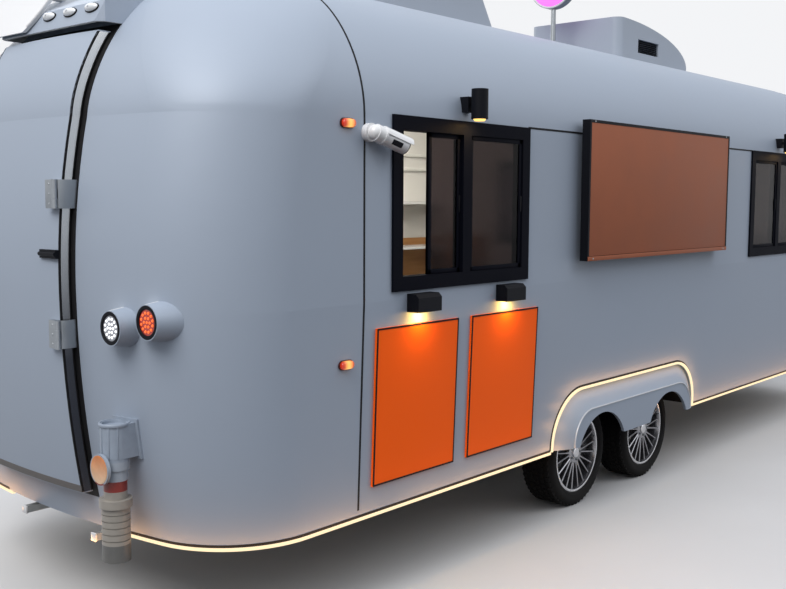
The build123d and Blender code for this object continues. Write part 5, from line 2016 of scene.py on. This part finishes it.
@dataclass(frozen=True)
class HitchDetails(SubAssembly):
    """Grips of the jockey crank and the coupling lever, clamp bolts, and the jockey wheel's hub plates."""

    crank: Span = (3.680, 0.0)
    crank_z: Span = (0.856, 0.935)
    crank_radius: float = 0.0138
    crank_groove: float = 0.0012
    crank_steps: int = 10
    lever_x: Span = (3.9605, 4.040)
    lever_aim: float = 4.00125
    lever_half: float = 0.0138
    lever_z: Span = (-0.0158, 0.0015)
    lever_edge: float = 0.003
    bolts_x: Span = (3.533, 3.587)
    bolts_y: Span = (-0.088, 0.088)
    bolt_radius: float = 0.009
    hub: Point = (3.520, 0.0, 0.110)
    hub_seat: float = 0.0138
    hub_ribs: int = 6
    above: float = 1.5

    def grips(self) -> None:
        """Sleeve the crank's handle and the coupling's lever in black plastic."""
        work = MeshWork()
        low, high = self.crank_z
        outline = [(0.0, low)]
        for step in range(self.crank_steps + 1):
            height = low + (high - low) * step / self.crank_steps
            outline.append((self.crank_radius - self.crank_groove * (step % 2), height))
        work.lathe(outline + [(0.0, high)], Matrix.Translation((*self.crank, 0.0)), 24)
        top = self.skin("coupling").hit(Vector((self.lever_aim, 0.0, self.above)), -Z)
        if top:
            low_z, high_z = (top[0].z + step for step in self.lever_z)
            low_x, high_x = self.lever_x
            work.block((low_x, -self.lever_half, low_z), (high_x, self.lever_half, high_z), self.lever_edge)
        work.done("hitch_grips", Finishes.BLACK, "black_plastic")

    def bolts(self) -> None:
        """Bolt the clamp plate to the drawbar."""
        skin = self.skin("jockey_tube")
        work = MeshWork()
        size = self.bolt_radius
        washer = disc(size * 1.4, -0.001, 0.0015)
        head = [(0.0, 0.001), (size, 0.001), (size, 0.0075), (size * 0.85, 0.009), (0.0, 0.009)]
        for y in self.bolts_y:
            for x in self.bolts_x:
                top = skin.hit(Vector((x, y, self.above)), -Z)
                if top:
                    work.lathe(washer, Matrix.Translation(top[0]), 20)
                    work.lathe(head, Matrix.Translation(top[0]), 6)
        work.done("jockey_clamp_bolts", Finishes.STEEL, "steel")

    def hub_plates(self) -> None:
        """Set a ribbed plate in each side of the jockey wheel."""
        work = MeshWork()
        plate = [(0.014, -0.001), (0.052, -0.001), (0.052, 0.005), (0.047, 0.006), (0.045, 0.0025),
                 (0.022, 0.0025), (0.019, 0.006), (0.014, 0.006)]
        for way in (-1.0, 1.0):
            place = facing(Vector(self.hub) + way * self.hub_seat * Y, way * Y)
            work.lathe(plate, place, 40, ring=True)
            for step in range(self.hub_ribs):
                turn = Matrix.Rotation(2 * math.pi * step / self.hub_ribs, 4, "Z")
                work.block((0.018, -0.002, 0.001), (0.047, 0.002, 0.0052), 0.0, place @ turn)
        work.done("jockey_hub_plates", Finishes.HUB_GREY, "grey_plastic", "jockey_wheel")

    def build(self) -> None:
        """Make the details."""
        self.grips()
        self.bolts()
        self.hub_plates()


@dataclass(frozen=True)
class RoofDetails(SubAssembly):
    """Fan grille, vent slats and the lit faces of the round sign."""

    fan_x: float = -1.960
    fan_radius: float = 0.185
    fan_lift: float = 0.0003
    fan_rings: int = 7
    fan_bars: int = 8
    wire: float = 0.0022
    vent_x: Span = (0.265, 0.555)
    vent_z: Span = (2.664, 2.742)
    vent_y: float = 0.333
    slats: int = 7
    slat_half: Span = (0.009, 0.0012)
    slat_up: Span = (0.6, 0.8)
    sign_radius: float = 0.170
    sign_half: float = 0.030
    sign_z: float = 3.085

    def fan(self) -> None:
        """Lay the wire grille over the rear unit's fan."""
        work = MeshWork()
        height = self.solids("roof_units")[0][1].z + self.fan_lift
        place = Matrix.Translation((self.fan_x, 0.0, height))
        for ring in range(1, self.fan_rings + 1):
            radius = self.fan_radius * ring / self.fan_rings
            work.lathe([(radius + x, y) for x, y in bead(self.wire, 6)], place, 40, ring=True)
        for step in range(self.fan_bars):
            turn = Matrix.Rotation(2 * math.pi * step / self.fan_bars, 4, "Z")
            work.block((0.0, -0.002, -0.002), (self.fan_radius, 0.002, 0.002), 0.0, place @ turn)
        work.lathe(disc(0.035, -0.004, 0.003), place, 24)
        work.done("fan_grille", Finishes.BLACK, "black_plastic")

    def vents(self) -> None:
        """Slat the front unit's side vents."""
        low_x, high_x = self.vent_x
        low_z, high_z = self.vent_z
        level, up = self.slat_up
        seats = []
        for side in Side:
            for step in range(self.slats):
                height = low_z + (high_z - low_z) / (self.slats - 1) * step
                spot = Vector(((low_x + high_x) / 2, side.value * self.vent_y, height))
                seats.append(Seat(spot, Vector((0.0, side.value * level, up)), X))
        item = MeshWork()
        half = Vector(((high_x - low_x) / 2, *self.slat_half))
        item.block(-half, half)
        work = MeshWork()
        work.take(Repeats.mesh(item, seats, Finishes.BLACK))
        work.done("roof_vent_slats", Finishes.BLACK, "black_plastic")

    def sign(self) -> None:
        """Light both faces of the round sign inside a white rim."""
        low, high = node_box("roof_sign")
        faces, rims = MeshWork(), MeshWork()
        middle = (low.x + high.x) / 2
        inner = self.sign_radius - 0.014
        face = disc(inner, -0.001, 0.001)
        ring = [(self.sign_radius - 0.007 + x, y) for x, y in bead(0.006)]
        for way in (-1.0, 1.0):
            place = facing(Vector((middle + way * self.sign_half, 0.0, self.sign_z)), way * X)
            faces.lathe(face, place, 48)
            rims.lathe(ring, place, 48, ring=True)
        faces.done("round_sign_faces", Finishes.SIGN_LIGHT, "white_plastic")
        rims.done("round_sign_rims", Finishes.WHITE, "white_plastic")

    def build(self) -> None:
        """Make the roof's details."""
        self.fan()
        self.vents()
        self.sign()


@dataclass(frozen=True)
class Studio:
    """Camera, lights, pale floor and background."""

    eye: Point = (-6.0635, -3.6739, 1.6479)
    yaw: float = 0.7187
    pitch: float = -0.0917
    roll: float = -0.0048
    lens: float = 45.87
    sensor: float = 36.0
    shift_y: float = -0.0027
    floor_size: float = 90.0
    floor_colour: Colour = (0.62, 0.61, 0.60)
    floor_bounce: Colour = (0.045, 0.043, 0.046)
    sky_colour: Colour = (0.86, 0.91, 1.0)
    zenith: float = 1.42
    horizon: float = 0.20
    clip_end: float = 200.0
    mottle_scale: float = 1.3
    mottle_detail: float = 6.0
    mottle_dark: float = 0.9
    shown_colour: Colour = (0.90, 0.91, 0.93)
    lamps: tuple[tuple[str, Point, Point, float, float, Colour], ...] = (
        ("key", (-8.8, -1.8, 7.4), (-3.0, 0.0, 1.9), 5.0, 500.0, (1.0, 0.98, 0.96)),
        ("side", (2.0, -8.0, 8.0), (0.0, 0.0, 1.2), 6.0, 185.0, (0.95, 0.97, 1.0)),
        ("far side", (0.0, 9.0, 5.5), (0.0, 0.0, 1.2), 6.0, 170.0, (1.0, 1.0, 1.0)))

    def add_camera(self) -> None:
        """Place the camera at the photograph's eye point and angle."""
        turn, tilt = self.yaw, self.pitch
        forward = Vector((math.cos(turn) * math.cos(tilt), math.sin(turn) * math.cos(tilt), math.sin(tilt)))
        level = Vector((math.sin(turn), -math.cos(turn), 0.0))
        down = forward.cross(level)
        right = math.cos(self.roll) * level + math.sin(self.roll) * down
        below = -math.sin(self.roll) * level + math.cos(self.roll) * down
        data = bpy.data.cameras.new("camera")
        data.lens = self.lens
        data.sensor_width = self.sensor
        data.shift_y = self.shift_y
        data.clip_end = self.clip_end
        camera = bpy.data.objects.new("camera", data)
        columns = Matrix((right, -below, -forward)).transposed()
        camera.matrix_world = Matrix.Translation(self.eye) @ columns.to_4x4()
        bpy.context.scene.collection.objects.link(camera)
        bpy.context.scene.camera = camera

    def add_floor(self) -> None:
        """Lay a pale floor that shows near white to the camera and keeps its shadows."""
        half = self.floor_size / 2
        mesh = bpy.data.meshes.new("studio_floor")
        corners = [(-half, -half, 0), (half, -half, 0), (half, half, 0), (-half, half, 0)]
        mesh.from_pydata(corners, [], [(0, 1, 2, 3)])
        floor = bpy.data.objects.new("studio_floor", mesh)
        bpy.context.scene.collection.objects.link(floor)
        material = bpy.data.materials.new("studio floor")
        material.use_nodes = True
        work = ShaderWork(material.node_tree)
        shader = material.node_tree.nodes["Principled BSDF"]
        place = work.add("ShaderNodeTexCoord").outputs["Object"]
        mottle = work.noise(place, self.mottle_scale, self.mottle_detail)
        darker = tuple(self.mottle_dark * value for value in self.floor_colour)
        work.link(work.mix(mottle, darker, self.floor_colour), shader.inputs["Base Color"])
        shader.inputs["Roughness"].default_value = Shine.MATT.value
        bounce = work.add("ShaderNodeBsdfDiffuse")
        bounce.inputs["Color"].default_value = (*self.floor_bounce, 1.0)
        blend = work.add("ShaderNodeMixShader")
        work.link(work.add("ShaderNodeLightPath").outputs["Is Diffuse Ray"], blend.inputs[0])
        work.link(shader.outputs[0], blend.inputs[1])
        work.link(bounce.outputs[0], blend.inputs[2])
        work.link(blend.outputs[0], material.node_tree.nodes["Material Output"].inputs["Surface"])
        mesh.materials.append(material)

    def add_world(self) -> None:
        """Light from all round, with a plain pale background for the camera, gloss and glass."""
        world = bpy.data.worlds.new("studio")
        bpy.context.scene.world = world
        world.use_nodes = True
        work = ShaderWork(world.node_tree)
        background = world.node_tree.nodes["Background"]
        background.inputs["Color"].default_value = (*self.sky_colour, 1.0)
        way = work.add("ShaderNodeTexCoord").outputs["Generated"]
        rise = work.ramp(work.axis(way, "Z"), (0.0, 1.0), (self.horizon, self.zenith))
        work.link(rise, background.inputs["Strength"])
        shown = work.add("ShaderNodeBackground")
        shown.inputs["Color"].default_value = (*self.shown_colour, 1.0)
        shown.inputs["Strength"].default_value = 1.0
        path = work.add("ShaderNodeLightPath")
        seen = work.math("MAXIMUM", path.outputs["Is Camera Ray"], path.outputs["Is Transmission Ray"])
        seen = work.math("MAXIMUM", seen, path.outputs["Is Glossy Ray"])
        blend = work.add("ShaderNodeMixShader")
        work.link(seen, blend.inputs[0])
        work.link(background.outputs[0], blend.inputs[1])
        work.link(shown.outputs[0], blend.inputs[2])
        work.link(blend.outputs[0], world.node_tree.nodes["World Output"].inputs["Surface"])

    def build(self) -> None:
        """Set the stage."""
        bpy.context.scene.view_settings.view_transform = "Standard"
        self.add_camera()
        self.add_world()
        self.add_floor()
        for lamp in self.lamps:
            add_lamp(*lamp)


def main() -> None:
    """Dress the trailer, sub-assembly by sub-assembly."""
    logging.basicConfig(level=logging.INFO, format="%(message)s")
    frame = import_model()
    Studio().build()
    dress_nodes(frame)
    shell = Skin(frame, "cap_rear", "cap_front", "roof", "wall_right", "wall_left")
    trim = ShellTrim()
    trim.build(shell)
    StripGlow().build(shell, trim)
    FlareBeads().build(trim)
    Windows(frame).build()
    Cabin().build()
    MenuBoards(frame).build()
    SignBoard().build()
    SpotLamps(frame).build()
    for side in Side:
        for end in ("rear", "front"):
            RoadWheel(side, end).build()
    for details in (RearLamps, DoorTrim, RearDetails, SideDetails, HitchDetails, RoofDetails):
        details(frame).build()


if __name__ == "__main__":
    main()
